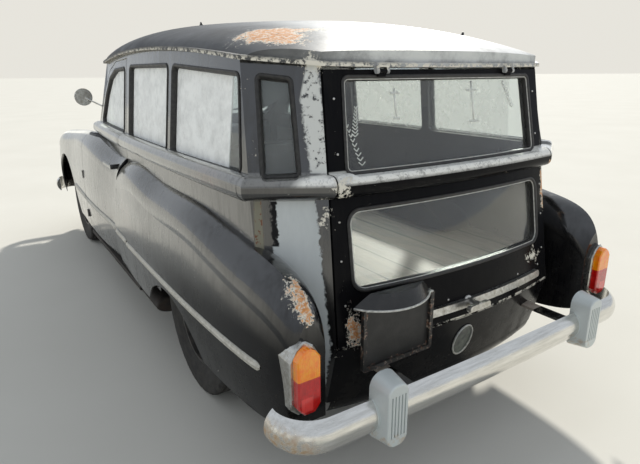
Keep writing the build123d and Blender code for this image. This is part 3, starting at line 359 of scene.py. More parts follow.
def corner_colours(paint, bare):
    """The grey corner panel with its taped edge, and the white pillar above the moulding."""
    ragged = paint.step(paint.noise(60.0, 5.0, 0.7), 0.3, 0.7, -0.006, 0.006)
    edge = paint.math("ADD", paint.x, ragged)
    under = paint.both(paint.step(paint.y, 1.79, 1.794), paint.fall(paint.z, 0.986, 0.99))
    panel = paint.both(under, paint.within(edge, 0.552, 0.556, 0.668, 0.672))
    stain = paint.both(
        paint.patches(12.0, 6.0, 0.65, 0.35, 0.75, (1.0, 1.0, 0.3)),
        paint.step(paint.z, 0.7, 0.9, 0.3, 1.0),
    )
    paint.lay(paint.mix(stain, panel_grey, panel_pale), panel)
    tape = paint.both(under, paint.within(edge, 0.654, 0.657, 0.676, 0.68), paint.step(paint.z, 0.846, 0.85))
    paint.lay(black, tape)
    white = paint.both(
        paint.step(paint.z, 1.066, 1.07), paint.step(paint.y, 1.815, 1.819),
        paint.within(edge, 0.508, 0.514, 0.556, 0.562), paint.patches(44.0, 7.0, 0.75, 0.4, 0.44),
    )
    paint.lay(off_white, white)
    seam = paint.both(under, paint.within(paint.x, 0.69, 0.694, 0.712, 0.716))
    dots = paint.both(seam, paint.patches(70.0, 4.0, 0.6, 0.57, 0.6))
    paint.lay(seam_brown, seam)
    paint.lay(brown_rust, dots)
    return paint.either(panel, white, seam)


def plain_finish(name, colour, second, roughness, metallic=0.0, grain=30.0, relief=0.0008):
    """A quiet two-tone finish with uneven gloss and a fine grain."""
    finish = Finish(name, colour)
    finish.lay(second, finish.patches(grain, 5.0, 0.65, 0.35, 0.7))
    rough = finish.step(finish.noise(grain * 0.5, 4.0, 0.6), 0.3, 0.7, roughness - 0.08, roughness + 0.12)
    bumps = finish.bump(finish.noise(grain * 4, 3.0, 0.6), relief)
    return finish.surface(Roughness=rough, Metallic=metallic, Normal=bumps)


def clear_glass(name, haze_colour, haze_share, of_sides=False):
    """Dusty glass that lets light in. The side panes get a darker tint and less haze at the corners, painted
    shade for the dark inside behind them, and less haze with a darker tint on the sunlit right side, painted
    shade that holds down the sun on them.
    """
    glass = Finish(name, (0.985, 0.995, 0.99))
    share = glass.step(glass.noise(14.0, 6.0, 0.7), 0.3, 0.75, haze_share * 0.75, haze_share * 1.25)
    if of_sides:
        # painted shade: darker tint and less haze at the corner panes for the dark inside behind them, and on
        # the sunlit right side to hold down the sun's light on the haze
        corner = glass.step(glass.y, 1.6, 1.61)
        share = glass.both(
            share, glass.without(glass.scaled(corner, 0.9)), glass.step(glass.x, -0.1, 0.1, 0.25, 1.0)
        )
        glass.lay((0.5, 0.58, 0.6), corner)
        glass.lay((0.78, 0.84, 0.83), glass.fall(glass.x, -0.1, 0.1))
    pane = glass.node("ShaderNodeBsdfPrincipled", {
        "Base Color": glass.colour, "Roughness": 0.02, "Transmission Weight": 1.0, "IOR": 1.45,
    }).outputs[0]
    film = glass.node("ShaderNodeBsdfDiffuse", {"Color": haze_colour}).outputs[0]
    dusty = glass.node("ShaderNodeMixShader", {0: share, 1: pane, 2: film}).outputs[0]
    open_way = glass.node("ShaderNodeBsdfTransparent", {"Color": (0.9, 0.93, 0.92)}).outputs[0]
    shadow = glass.node("ShaderNodeLightPath").outputs["Is Shadow Ray"]
    seen = glass.node("ShaderNodeMixShader", {0: shadow, 1: dusty, 2: open_way}).outputs[0]
    glass.tree.links.new(seen, glass.output.inputs["Surface"])
    return glass.material


def lens_finish():
    """The tail lamps' lenses: amber above, red below, with ribs inside and a brighter square at the foot."""
    lens = Finish("tail_lens", (0.4, 0.002, 0.002))
    mottle = lens.patches(38.0, 4.0, 0.7, 0.35, 0.65)
    lens.lay((0.62, 0.01, 0.008), mottle)
    square = lens.both(
        lens.within(lens.z, 0.4605, 0.4635, 0.5045, 0.5075),
        lens.within(lens.aside(), 0.716, 0.718, 0.752, 0.754),
    )
    lens.lay((0.92, 0.09, 0.08), square, 0.6)
    lens.lay(lens.mix(mottle, (1.0, 0.2, 0.002), (1.0, 0.38, 0.008)), lens.step(lens.z, 0.559, 0.561))
    return lens.surface(
        Roughness=0.1, Coat_Weight=1.0, Coat_Roughness=0.04, Subsurface_Weight=0.1, Subsurface_Scale=0.01,
        Normal=lens.bump(lens.waves(42.0, 0.6), 0.001, 0.5),
    )


def bumper_finish():
    """Worn bright metal, scratched along the bar, with yellow rust at the low left corner."""
    metal = Finish("bumper_metal", (0.8, 0.79, 0.76))
    scratches = metal.noise(60.0, 6.0, 0.7, (0.12, 1.0, 1.6))
    metal.lay((0.62, 0.61, 0.58), metal.step(scratches, 0.35, 0.65))
    across = metal.aside()
    behind = metal.step(metal.y, -0.001, 0.001)
    rear_shields = metal.both(behind, metal.within(across, 0.45, 0.4505, 0.5495, 0.55))
    front_shields = metal.both(metal.without(behind), metal.within(across, 0.3, 0.3005, 0.3995, 0.4))
    grey = metal.either(rear_shields, front_shields)
    metal.lay((0.6, 0.64, 0.63), grey)
    corner = metal.nearness(((0.83, 2.08, 0.37), (0.16, 0.24, 0.085)))
    flecks = metal.patches(50.0, 6.0, 0.7, 0.35, 0.7)
    corner_rust = metal.both(metal.step(corner, 0.05, 0.55), metal.step(flecks, 0.1, 0.7))
    edge_rust = metal.both(metal.fall(metal.z, 0.352, 0.36), metal.step(flecks, 0.35, 0.8))
    bracket = metal.both(behind, metal.fall(metal.y, 2.05, 2.052), metal.fall(across, 0.58, 0.6))
    rust = metal.either(corner_rust, metal.scaled(edge_rust, 0.6), metal.scaled(bracket, 0.9))
    yellow_rust = metal.mix(flecks, (0.55, 0.42, 0.2), (0.42, 0.22, 0.08))
    dark_rust = metal.mix(flecks, (0.4, 0.34, 0.26), (0.2, 0.11, 0.06))
    metal.lay(metal.mix(bracket, yellow_rust, dark_rust), rust, 0.85)
    pits = metal.patches(230.0, 4.0, 0.7, 0.62, 0.7)
    metal.lay((0.2, 0.18, 0.15), pits, 0.35)
    rough = metal.step(scratches, 0.3, 0.7, 0.1, 0.26)
    return metal.surface(
        Roughness=metal.blend(metal.either(rust, metal.scaled(grey, 0.5)), rough, 0.62),
        Metallic=metal.blend(metal.either(rust, metal.scaled(grey, 0.8)), 1.0, 0.1),
        Normal=metal.bump(metal.noise(120.0, 5.0, 0.7), 0.0006, 0.6),
    )


def plate_finish():
    """The plate holder: dull black with rust along its thin frame, and a glossier lamp housing above."""
    steel = Finish("plate_holder", (0.006, 0.006, 0.006))
    fine = steel.noise(130.0, 6.0, 0.75)
    middle = steel.both(
        steel.within(steel.x, 0.227, 0.231, 0.481, 0.485), steel.within(steel.z, 0.484, 0.488, 0.662, 0.666)
    )
    below = steel.fall(steel.z, 0.674, 0.677)
    rusty = steel.both(steel.without(middle), below, steel.patches(60.0, 7.0, 0.8, 0.54, 0.58))
    steel.lay((0.022, 0.021, 0.02), steel.patches(18.0, 6.0, 0.7, 0.4, 0.7))
    steel.lay(steel.mix(steel.step(fine, 0.46, 0.56), brown_rust, dust), rusty)
    return steel.surface(
        Roughness=steel.blend(below, 0.16, 0.5), Specular_IOR_Level=0.6, Normal=steel.bump(fine, 0.0008, 0.6),
    )


def lamp_finish():
    """Headlamps: a bright rim about a ribbed clear lens."""
    lamp = Finish("headlamp", (0.72, 0.72, 0.7))
    across = lamp.math("SUBTRACT", lamp.aside(), headlamp_across)
    up = lamp.math("SUBTRACT", lamp.z, headlamp_up)
    far = lamp.math("SQRT", lamp.math("ADD", lamp.scaled(across, across), lamp.scaled(up, up)))
    lens = lamp.fall(far, headlamp_lens + 0.0005, headlamp_lens + 0.0015)
    lamp.lay((0.5, 0.52, 0.52), lens)
    return lamp.surface(
        Roughness=lamp.blend(lens, 0.16, 0.08), Metallic=lamp.blend(lens, 1.0, 0.35), Coat_Weight=0.6,
        Normal=lamp.bump(lamp.scaled(lamp.waves(40.0), lens), 0.0012, 0.8),
    )


def deck_finish():
    """Worn grey boards, dusty, with long joints."""
    deck = Finish("deck_boards", (0.15, 0.135, 0.115))
    grain = deck.noise(36.0, 6.0, 0.7, (1.0, 0.12, 1.0))
    deck.lay((0.27, 0.23, 0.18), deck.step(grain, 0.35, 0.7))
    deck.lay((0.03, 0.03, 0.03), deck.fall(deck.waves(2.2), 0.004, 0.012))
    return deck.surface(Roughness=0.62, Normal=deck.bump(grain, 0.0008, 0.7))


# Name, what it adds, gloss, chalk, shine, coat and film of dust
body_black = weathered_black("weathered_black", None, 0.1, 0.1, 0.06)
roof_black = weathered_black("roof_paint", roof_wear_and_glare, 0.4, 0.75, 0.4, 0.12)
side_black = weathered_black("side_paint", corner_colours, 0.1, 0.5, 0.3, 1.0, 1.0)
fender_black = weathered_black("fender_paint", None, 0.11, 0.15, 0.12, 1.0, 0.8)
glass = clear_glass("window_glass", (0.62, 0.62, 0.58), 0.05)
side_haze_and_shade = clear_glass("side_window_glass", (0.99, 1.0, 0.97), 0.92, True)
bumper_metal = bumper_finish()
headlamp_glass = lamp_finish()

# Name, two tones, roughness, metallic, grain and relief
chassis = plain_finish("chassis_paint", (0.02, 0.019, 0.017), (0.05, 0.036, 0.026), 0.75)
worn_chrome = plain_finish("worn_chrome", (0.6, 0.6, 0.58), (0.34, 0.32, 0.28), 0.3, 1.0, 60.0, 0.0004)
strip_metal = plain_finish("strip_metal", (0.6, 0.58, 0.52), (0.4, 0.38, 0.33), 0.42, 0.35, 70.0)
pale_bead = plain_finish("pale_bead", (0.66, 0.66, 0.62), (0.36, 0.35, 0.32), 0.35, 0.4, 80.0)
rubber = plain_finish("old_rubber", (0.01, 0.01, 0.01), (0.045, 0.042, 0.038), 0.45, 0.0, 90.0)
tyre_black = plain_finish("tyre_rubber", (0.018, 0.017, 0.016), (0.055, 0.05, 0.042), 0.8, 0.0, 40.0)
ornament_white = plain_finish("ornament_white", (0.74, 0.76, 0.72), (0.6, 0.62, 0.58), 0.6, 0.0, 50.0)
sign_green = plain_finish("sign_green", (0.03, 0.04, 0.034), (0.16, 0.18, 0.15), 0.4, 0.0, 40.0)
trim_board = plain_finish("trim_board", (0.1, 0.085, 0.07), (0.06, 0.05, 0.045), 0.65, 0.0, 60.0)
seat_leather = plain_finish("seat_leather", (0.085, 0.06, 0.045), (0.13, 0.095, 0.07), 0.48, 0.0, 26.0)

slot_finish = {
    "underbody": chassis, "chassis_steel": chassis, "black_paint": body_black, "window_glass": glass,
    "bright_trim": bumper_metal, "deck_board": deck_finish(), "dull_steel": plate_finish(),
    "lamp_glass": headlamp_glass, "lamp_lens": lens_finish(), "seat_cover": seat_leather,
    "tyre_rubber": tyre_black,
    "engine_iron": plain_finish("engine_iron", (0.05, 0.05, 0.05), (0.14, 0.1, 0.07), 0.6, 0.3),
    "dash_paint": plain_finish("dash_paint", (0.06, 0.06, 0.065), (0.035, 0.035, 0.035), 0.3),
    "wheel_rim_plastic": plain_finish("rim_plastic", (0.5, 0.47, 0.38), (0.38, 0.35, 0.28), 0.3),
    "wheel_paint": plain_finish("wheel_paint", (0.018, 0.018, 0.018), (0.07, 0.06, 0.05), 0.42),
}
own_finish = {
    side_haze_and_shade: ("side_glass", "door_glass_left", "door_glass_right"),
    roof_black: ("roof",),
    side_black: ("body_side_left", "body_side_right"),
    fender_black: ("rear_fenders", "front_fenders", "door_left", "door_right"),
    worn_chrome: ("tail_lamp_housings", "round_mirror", "grille", "tailgate_handle"),
}
own_finish = {node: finish for finish, names in own_finish.items() for node in names}
for part in frame["record"]["subparts"]:
    slots = nodes[part["node"]].data.materials
    slots.clear()
    slots.append(own_finish.get(part["node"], slot_finish[part["material_slot"]]))


def add_piece(name, made, material, body="body", smooth=True):
    """A mesh piece, from its points and faces, that rides on a body."""
    points, faces = made
    mesh = bpy.data.meshes.new(name)
    mesh.from_pydata([tuple(point) for point in points], [], faces)
    for polygon in mesh.polygons:
        polygon.use_smooth = smooth
    mesh.materials.append(material)
    piece = bpy.data.objects.new(name, mesh)
    bpy.context.scene.collection.objects.link(piece)
    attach(piece, body)
    return piece


def add_pair(name, made, material, body):
    """A piece on the car's left and its mirror image on the right."""
    add_piece(f"{name}_left", made, material, body)
    add_piece(f"{name}_right", mirrored(made), material, body.replace("left", "right"))


def grid_faces(rows, columns, closed_rows=False, closed_columns=False):
    """Quads between rows of points, each with as many columns."""
    faces = []
    for row in range(rows if closed_rows else rows - 1):
        here, after = row * columns, (row + 1) % rows * columns
        for column in range(columns if closed_columns else columns - 1):
            beside = (column + 1) % columns
            faces.append((here + column, here + beside, after + beside, after + column))
    return faces


def circle(steps):
    """The angles of even steps round a circle."""
    return [2 * pi * step / steps for step in range(steps)]


def shares(steps):
    """Even steps from zero to one."""
    return [step / (steps - 1) for step in range(steps)]


def ring_sweep(outline, outward, profile):
    """A closed profile swept round a closed outline: each place of the profile is inwards, outwards."""
    count = len(outline)
    middle = sum(outline, Vector()) / count
    points = []
    for index, place in enumerate(outline):
        ahead = (outline[(index + 1) % count] - outline[index - 1]).normalized()
        inward = outward.cross(ahead)
        if inward.dot(middle - place) < 0:
            inward = -inward
        points.extend(place + inward * across + outward * out for across, out in profile)
    return points, grid_faces(count, len(profile), True, True)


def tube(path, radius, sides=8, closed=False):
    """A round tube along a path, with its ends capped."""
    path = [Vector(place) for place in path]
    count = len(path)
    points = []
    for index, place in enumerate(path):
        before = path[index - 1] if closed or index else path[0]
        after = path[(index + 1) % count] if closed or index < count - 1 else path[-1]
        ahead = (after - before).normalized()
        level = ahead.cross(Vector((0.13, 0.27, 0.95))).normalized()
        upright = ahead.cross(level)
        points.extend(place + (level * cos(angle) + upright * sin(angle)) * radius for angle in circle(sides))
    faces = grid_faces(count, sides, closed, True)
    if not closed:
        faces.append(tuple(range(sides)))
        faces.append(tuple(range((count - 1) * sides, count * sides)))
    return points, faces


def turned(profile, centre, axis, steps=48):
    """A profile of places along an axis and away from it, turned about that axis."""
    axis = Vector(axis).normalized()
    level = axis.cross(Vector((0.1, 0.2, 0.97))).normalized()
    upright = axis.cross(level)
    points = []
    for angle in circle(steps):
        out = level * cos(angle) + upright * sin(angle)
        points.extend(Vector(centre) + axis * along + out * away for along, away in profile)
    return points, grid_faces(steps, len(profile), True, False)


def flat_bar(start, end, wide, normal, lift):
    """A thin flat bar between two places, facing along a normal."""
    start, end, normal = Vector(start), Vector(end), Vector(normal)
    side = normal.cross((end - start).normalized()) * wide / 2
    base = [start - side, start + side, end + side, end - side]
    top = [corner + normal * lift for corner in base]
    faces = [(0, 1, 2, 3), (4, 7, 6, 5), (0, 4, 5, 1), (1, 5, 6, 2), (2, 6, 7, 3), (3, 7, 4, 0)]
    return base + top, faces


def joined(*parts):
    """Several lists of points and faces as one."""
    points, faces = [], []
    for more_points, more_faces in parts:
        start = len(points)
        points.extend(more_points)
        faces.extend(tuple(corner + start for corner in face) for face in more_faces)
    return points, faces


def mirrored(made):
    """The same form on the car's other side."""
    points, faces = made
    return [Vector((-p[0], p[1], p[2])) for p in points], [tuple(reversed(face)) for face in faces]


def skin_of(*names):
    """A search tree over the surfaces of some CAD nodes."""
    points, polygons = [], []
    for name in names:
        mesh = nodes[name].data
        start = len(points)
        points.extend(vertex.co.copy() for vertex in mesh.vertices)
        polygons.extend(tuple(corner + start for corner in polygon.vertices) for polygon in mesh.polygons)
    return BVHTree.FromPolygons(points, polygons)


def on_surface(surface, origin, direction, lift=0.0):
    """A place on a surface along a ray, lifted off it, and the normal there."""
    hit, normal, _, _ = surface.ray_cast(Vector(origin), Vector(direction))
    if normal.dot(Vector(direction)) > 0:
        normal = -normal
    return hit + normal * lift, normal


def from_behind(surface, across, up, lift=0.0):
    """A place on the car's rear, lifted off it, and the normal there."""
    return on_surface(surface, (across, behind_car, up), (0, -1, 0), lift)


def from_left(surface, along, up):
    """Where a ray from the car's left meets an outer panel, with the normal there, or nothing."""
    hit, normal, _, _ = surface.ray_cast(Vector((beside_car, along, up)), Vector((-1, 0, 0)))
    if hit is None or hit.x < inside_car:
        return None
    return hit, -normal if normal.x < 0 else normal


# Panes: the cabin's middle along the car, the least cosine between an outer face and its pane's normal, and
# how near two corners of an outline may lie
cabin_middle = 0.7
outer_turn = 0.6
closest_corners = 0.0008


def pane_outlines(name):
    """Each pane of a glass node as the outline of its outer face, with that face's normal."""
    mesh = nodes[name].data
    keys = [tuple(round(c, 5) for c in vertex.co) for vertex in mesh.vertices]
    parent = {key: key for key in keys}

    def root(key):
        while parent[key] != key:
            parent[key] = parent[parent[key]]
            key = parent[key]
        return key

    for polygon in mesh.polygons:
        first = root(keys[polygon.vertices[0]])
        for corner in polygon.vertices[1:]:
            parent[root(keys[corner])] = first
    groups = {}
    for polygon in mesh.polygons:
        groups.setdefault(root(keys[polygon.vertices[0]]), []).append(polygon)
    panes = []
    for polygons in groups.values():
        largest = max(polygons, key=lambda polygon: polygon.area)
        normal = largest.normal.copy()
        away = largest.center - Vector((0, cabin_middle, largest.center.z))
        if normal.dot(away) < 0:
            normal = -normal
        if name == "windscreen":
            # it curves both ways from its middle, which faces straight ahead
            normal = Vector((0, normal.y, normal.z)).normalized()
        panes.append((max(follow_edges(polygons, keys, normal), key=len), normal))
    return panes


def follow_edges(polygons, keys, normal):
    """The border loops of the polygons that face along a normal."""
    edges = set()
    for polygon in polygons:
        if polygon.normal.dot(normal) < outer_turn:
            continue
        corners = [keys[corner] for corner in polygon.vertices]
        for start, end in zip(corners, corners[1:] + corners[:1]):
            if (end, start) in edges:
                edges.remove((end, start))
            else:
                edges.add((start, end))
    onward = dict(edges)
    loops = []
    while onward:
        start, place = next(iter(onward.items()))
        del onward[start]
        loop = [Vector(start)]
        while place in onward:
            if (Vector(place) - loop[-1]).length > closest_corners:
                loop.append(Vector(place))
            place = onward.pop(place)
        loops.append(loop)
    return loops


# Rubber seal about a pane, and the bead in it: places inwards from the opening's edge and out from the glass
seal_profile = (
    (-0.006, 0.0183), (-0.006, 0.0205), (-0.001, 0.0222), (0.004, 0.0205), (0.009, 0.012), (0.0105, 0.003),
    (0.0105, 0.0001), (0.0002, 0.0001), (0.0002, 0.0183),
)
bead_profile = tuple((0.0075 + 0.002 * cos(angle), 0.0165 + 0.002 * sin(angle)) for angle in circle(8))


def fit_seals():
    """Seals for all windows, the right side's mirrored from the left, and a pale bead in the tailgate's."""
    for name, body in (
        ("side_glass", "body"), ("door_glass_left", "door_left"), ("tailgate_glass", "tailgate"),
        ("windscreen", "body"),
    ):
        sided = name in ("side_glass", "door_glass_left")
        panes = [pane for pane in pane_outlines(name) if not sided or pane[0][0].x > 0]
        rings = joined(*[ring_sweep(outline, normal, seal_profile) for outline, normal in panes])
        if name == "door_glass_left":
            add_pair("seals_door_glass", rings, rubber, body)
            continue
        if sided:
            rings = joined(rings, mirrored(rings))
        add_piece(f"seals_{name}", rings, rubber, body)
        if name == "tailgate_glass":
            beads = joined(*[ring_sweep(outline, normal, bead_profile) for outline, normal in panes])
            add_piece("tailgate_beads", beads, pale_bead, body)


# Side strip: its height along the car, then its section, across by its half width and out from the panel
strip_line = ((-1.1, 0.556), (-0.6, 0.549), (0.498, 0.532), (0.502, 0.522), (1.43, 0.529), (1.959, 0.539))
strip_half = 0.0145
strip_section = (
    (-1.0, 0.0003), (-0.96, 0.0045), (-0.8, 0.0062), (-0.62, 0.005), (-0.4, 0.006), (-0.2, 0.0085),
    (0.0, 0.0092), (0.2, 0.0085), (0.4, 0.006), (0.62, 0.005), (0.8, 0.0062), (0.96, 0.0045), (1.0, 0.0003),
)

# Dark strip under the belt moulding, standing in for the shade line there (painted shade)
shade_line_up = 0.987
shade_line_half = 0.006
shade_line_section = ((-1.0, 0.0003), (-0.7, 0.004), (0.0, 0.0055), (0.7, 0.005), (1.0, 0.001))

# How far from its ends a strip rounds off, and how far apart its stations lie
strip_end = 0.02
strip_pace = 0.02


def strip_height(along):
    """The side strip's height at a place along the car."""
    for (start, low), (end, high) in zip(strip_line, strip_line[1:]):
        if along <= end:
            return low + (high - low) * max(0.0, (along - start) / (end - start))
    return strip_line[-1][1]


def shade_line_height(along):
    """The dark shade strip's height, the same all along the car."""
    return shade_line_up


def lay_strip(name, panel, body, start, end, look):
    """A strip laid on a panel between two places along the car, on the left and on the right."""
    height_of, half, section, material = look
    surface = skin_of(panel)
    steps = max(8, int((end - start) / strip_pace))
    stations = [start + (end - start) * step / steps for step in range(steps + 1)]
    stations += [start + 0.004, start + 0.01, end - 0.01, end - 0.004]
    points, rows = [], 0
    for along in sorted(stations):
        share = min(1.0, max(0.02, min(along - start, end - along) / strip_end))
        round_off = (1 - (1 - share) ** 2) ** 0.5
        row = []
        for across, rise in section:
            met = from_left(surface, along, height_of(along) + across * half * round_off)
            if met:
                row.append(met[0] + met[1] * rise * min(1.0, round_off + 0.2))
        if len(row) == len(section):
            points.extend(row)
            rows += 1
    add_pair(name, (points, grid_faces(rows, len(section))), material, body)


def lay_strips():
    """The ribbed side strip, and a dark rubber strip that closes the joint under the belt moulding, put there
    as painted shade for the moulding's shade line.
    """
    strip = (strip_height, strip_half, strip_section, strip_metal)
    shade_line = (shade_line_height, shade_line_half, shade_line_section, rubber)
    lay_strip("strip_front", "front_fenders", "body", -1.1, -0.609, strip)
    lay_strip("strip_door", "door_left", "door_left", -0.592, 0.222, strip)
    lay_strip("strip_link", "rear_fenders", "body", 0.272, 0.496, strip)
    lay_strip("strip_rear", "rear_fenders", "body", 0.5, 1.959, strip)
    # a dark strip under the belt moulding on the door and side: painted shade
    lay_strip("shade_line_door", "door_left", "door_left", -0.57, 0.222, shade_line)
    lay_strip("shade_line_side", "body_side_left", "body", 0.25, 1.765, shade_line)


def cover_moulding():
    """An even skin over the rounded belt moulding on the doors and sides, in the panel's own paint."""
    middle = (belt_low + belt_high) / 2
    out, half, rounding, lift, sunk = 0.038, 0.036, 0.03, 0.0008, -0.004
    section = [(sunk, -half - lift)]
    for end, first in ((-1, -90), (1, 0)):
        for turn in range(9):
            angle = radians(first + turn * 11.25)
            across = out - rounding + (rounding + lift) * cos(angle)
            section.append((across, end * (half - rounding) + (rounding + lift) * sin(angle)))
    section.append((sunk, half + lift))
    for name, panel, body, start, end, paint in (
        ("belt_door", "door_left", "door_left", -0.596, 0.33, fender_black),
        ("belt_side", "body_side_left", "body", 0.352, 1.776, side_black),
    ):
        surface = skin_of(panel)
        points, rows = [], 0
        for share in shares(int((end - start) / 0.06) + 1):
            along = start + (end - start) * share
            ridge = from_left(surface, along, middle)
            if ridge:
                root = ridge[0].x - out
                points.extend((root + across, along, middle + up) for across, up in section)
                rows += 1
        add_pair(name, (points, grid_faces(rows, len(section))), paint, body)


def fit_apron():
    """A dark apron below the lower rear panel, with a notch over the tail pipe."""
    panel = skin_of("lower_rear_panel")
    half, top, foot, notch, sweep = 0.53, 0.318, 0.248, 0.286, 0.03
    pipe, pipe_room = 0.3, 0.045
    rows, columns = 6, 55
    points = []
    for down in shares(rows):
        for share in shares(columns):
            across = half * (2 * share - 1)
            edge = notch if abs(across - pipe) < pipe_room else foot
            place = from_behind(panel, across, top, -0.0015)[0]
            points.append((across, place.y - sweep * down ** 2, top + (edge - top) * down))
    add_piece("rear_apron", (points, grid_faces(rows, columns)), body_black)


# The nose between the front fenders: station, half width, shoulder height and crown height
nose_stations = (
    (-2.14, 0.528, 0.7, 0.812), (-1.88, 0.538, 0.8, 0.912), (-1.6, 0.542, 0.846, 0.962),
    (-1.32, 0.542, 0.878, 0.994), (-1.04, 0.542, 0.903, 1.018), (-0.76, 0.542, 0.918, 1.032),
)


def nose_section(along):
    """Half width, shoulder and crown of the nose at a place along the car, on a smooth curve."""
    span = max(i for i in range(len(nose_stations) - 2) if nose_stations[i][0] <= along)
    before, here, there, after = (nose_stations[max(span + step, 0)] for step in (-1, 0, 1, 2))
    length = there[0] - here[0]
    share = (along - here[0]) / length
    late = 3 * share ** 2 - 2 * share ** 3
    values = []
    for column in (1, 2, 3):
        first = (there[column] - before[column]) / (there[0] - before[0]) * length
        last = (after[column] - here[column]) / (after[0] - here[0]) * length
        values.append(
            here[column] * (1 - late) + there[column] * late
            + first * (share ** 3 - 2 * share ** 2 + share) + last * (share ** 3 - share ** 2)
        )
    return values


def fit_bonnet_landing():
    """Fixed strips beside the bonnet's edges, down to the front fenders, each with a lip under the bonnet."""
    front, length, gap = -2.0055, 0.78, 0.006
    edge_start, edge_height, edge_slope = -2.0, 0.85, 0.0458
    lip_under, lip_turn, fall, drop = 0.018, 0.07, 0.0048, 0.03
    rows, columns, drops = 25, 12, 3
    points = []
    for row in shares(rows):
        along = front + length * row
        half, shoulder, crown = nose_section(along)
        rise = crown - shoulder
        edge = edge_height + (along - edge_start) * edge_slope - gap
        top = asin(min(1.0, max(0.0, (edge - shoulder) / rise)))
        root = min(edge, shoulder)
        lip = top + lip_turn
        points.append(((half - lip_under) * cos(lip), along, root - lip_under + rise * sin(lip)))
        for share in shares(columns + 1):
            angle = top * (1 - share)
            points.append((half * cos(angle), along, root - fall * share + rise * sin(angle)))
        points.extend((half, along, root - fall - drop * step) for step in range(1, drops + 1))
    strip = (points, grid_faces(rows, columns + drops + 2))
    add_piece("bonnet_landing", joined(strip, mirrored(strip)), body_black)


# Wheels
axle_places = (("front", -1.495), ("rear", 1.155))
half_track = 0.645
tyre_radius = 0.335
tyre_half = 0.082
tyre_bead = 0.2005
tyre_shoulder = ((0.0738, 0.3225), (0.07, 0.3275), (0.0655, 0.3315))
tyre_grooves = (0.05, 0.024)
groove_depth = 0.0075
hub_dome = (
    (0.03, 0.078), (0.034, 0.077), (0.04, 0.07), (0.043, 0.06), (0.05, 0.055), (0.056, 0.042),
    (0.059, 0.025), (0.0602, 0.01), (0.0604, 0.0004),
)


def tyre_section():
    """Places across and away from the axle round a tyre's outside, from bead to bead, with their kind."""
    near = []
    for step, share in enumerate(shares(15)):
        away = tyre_bead + share * (tyre_radius - 0.016 - tyre_bead)
        bulge = tyre_half - 0.021 * (1 - share) ** 2 - 0.006 * max(0.0, share - 0.5) * 2
        ring = 0.0014 if step in (5, 9, 10) else 0.0
        near.append((bulge - 0.0016 + ring, away, "wall"))
    near.extend((across, away, "shoulder") for across, away in tyre_shoulder)
    for groove in tyre_grooves:
        for offset, deep in ((0.0045, 0), (0.003, 1), (-0.003, 1), (-0.0045, 0)):
            near.append((groove + offset, tyre_radius - 0.0006 - groove_depth * deep, "tread"))
    near.append((0.01, tyre_radius - 0.0004, "tread"))
    middle = [(0.0, tyre_radius - 0.0004, "tread")]
    return near + middle + [(-across, away, kind) for across, away, kind in reversed(near)]


def fit_tyre(name, body, centre):
    """A worn tyre with zigzag grooves and cut shoulders in place of the plain one."""
    section = tyre_section()
    steps = 180
    points = []
    for step, angle in enumerate(circle(steps)):
        zigzag = 0.0022 if step % 4 in (0, 1) else -0.0022
        cut = 0.004 if step % 6 in (0, 1) else 0.0
        for across, away, kind in section:
            if kind == "tread":
                across += zigzag
            if kind == "shoulder":
                away -= cut
            points.append(centre + Vector((across, away * cos(angle), away * sin(angle))))
    made = (points, grid_faces(steps, len(section), True, False))
    tyre = add_piece(f"{name}_treaded", made, tyre_black, body)
    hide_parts(name)


def fit_wheels():
    """Tyres and domed hub caps."""
    for end, along in axle_places:
        for side_name, side in (("left", 1), ("right", -1)):
            body = f"wheel_{end}_{side_name}"
            centre = Vector((side * half_track, along, tyre_radius))
            fit_tyre(f"tyre_{end}_{side_name}", body, centre)
            cap = turned(hub_dome, centre, (side, 0, 0))
            add_piece(f"hub_cap_{end}_{side_name}", cap, worn_chrome, body)


def fit_headlamp_domes():
    """A domed clear lens in each headlamp's rim."""
    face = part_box("headlamps")[0][1]
    dome = [(0.0004, headlamp_lens)]
    for turn in range(1, 9):
        angle = radians(turn * 11.0)
        dome.append((0.0004 + 0.016 * sin(angle), headlamp_lens * cos(angle)))
    parts = [turned(dome, (side * headlamp_across, face, headlamp_up), (0, -1, 0)) for side in (-1, 1)]
    add_piece("headlamp_domes", joined(*parts), headlamp_glass, "body")


# Oval sign, and the tailgate's fittings: across and up, with the radius of the handle's collars
sign_up = 0.412
sign_steps = 40
collar_places = ((0.008, 0.575, 0.021), (-0.15, 0.575, 0.013), (-0.38, 0.575, 0.013))
lock_place = (0.008, 0.545)
screw_places = (
    (-0.46, 0.6), (-0.3, 0.6), (0.1, 0.6), (-0.5, 0.66), (0.5, 0.66), (-0.5, 0.8), (0.5, 0.8),
    (-0.495, 0.92), (0.495, 0.92), (-0.478, 1.12), (0.478, 1.12), (-0.472, 1.28), (0.472, 1.28),
)


def fit_sign():
    """The oval sign on the lower panel, left blank."""
    panel = skin_of("lower_rear_panel")
    angles = circle(sign_steps)
    ring = [from_behind(panel, 0.046 * cos(a), sign_up + 0.064 * sin(a), 0.0026)[0] for a in angles]
    plate = [
        from_behind(panel, 0.045 * share * cos(a), sign_up + 0.063 * share * sin(a), 0.0012)[0]
        for share in (1.0, 0.5) for a in angles
    ]
    plate.append(from_behind(panel, 0, sign_up, 0.0012)[0])
    faces = grid_faces(2, sign_steps, False, True)
    for step in range(sign_steps):
        faces.append((sign_steps + step, sign_steps + (step + 1) % sign_steps, 2 * sign_steps))
    add_piece("oval_sign_ring", tube(ring, 0.0034, 10, True), pale_bead, "body")
    add_piece("oval_sign_plate", (plate, faces), sign_green)


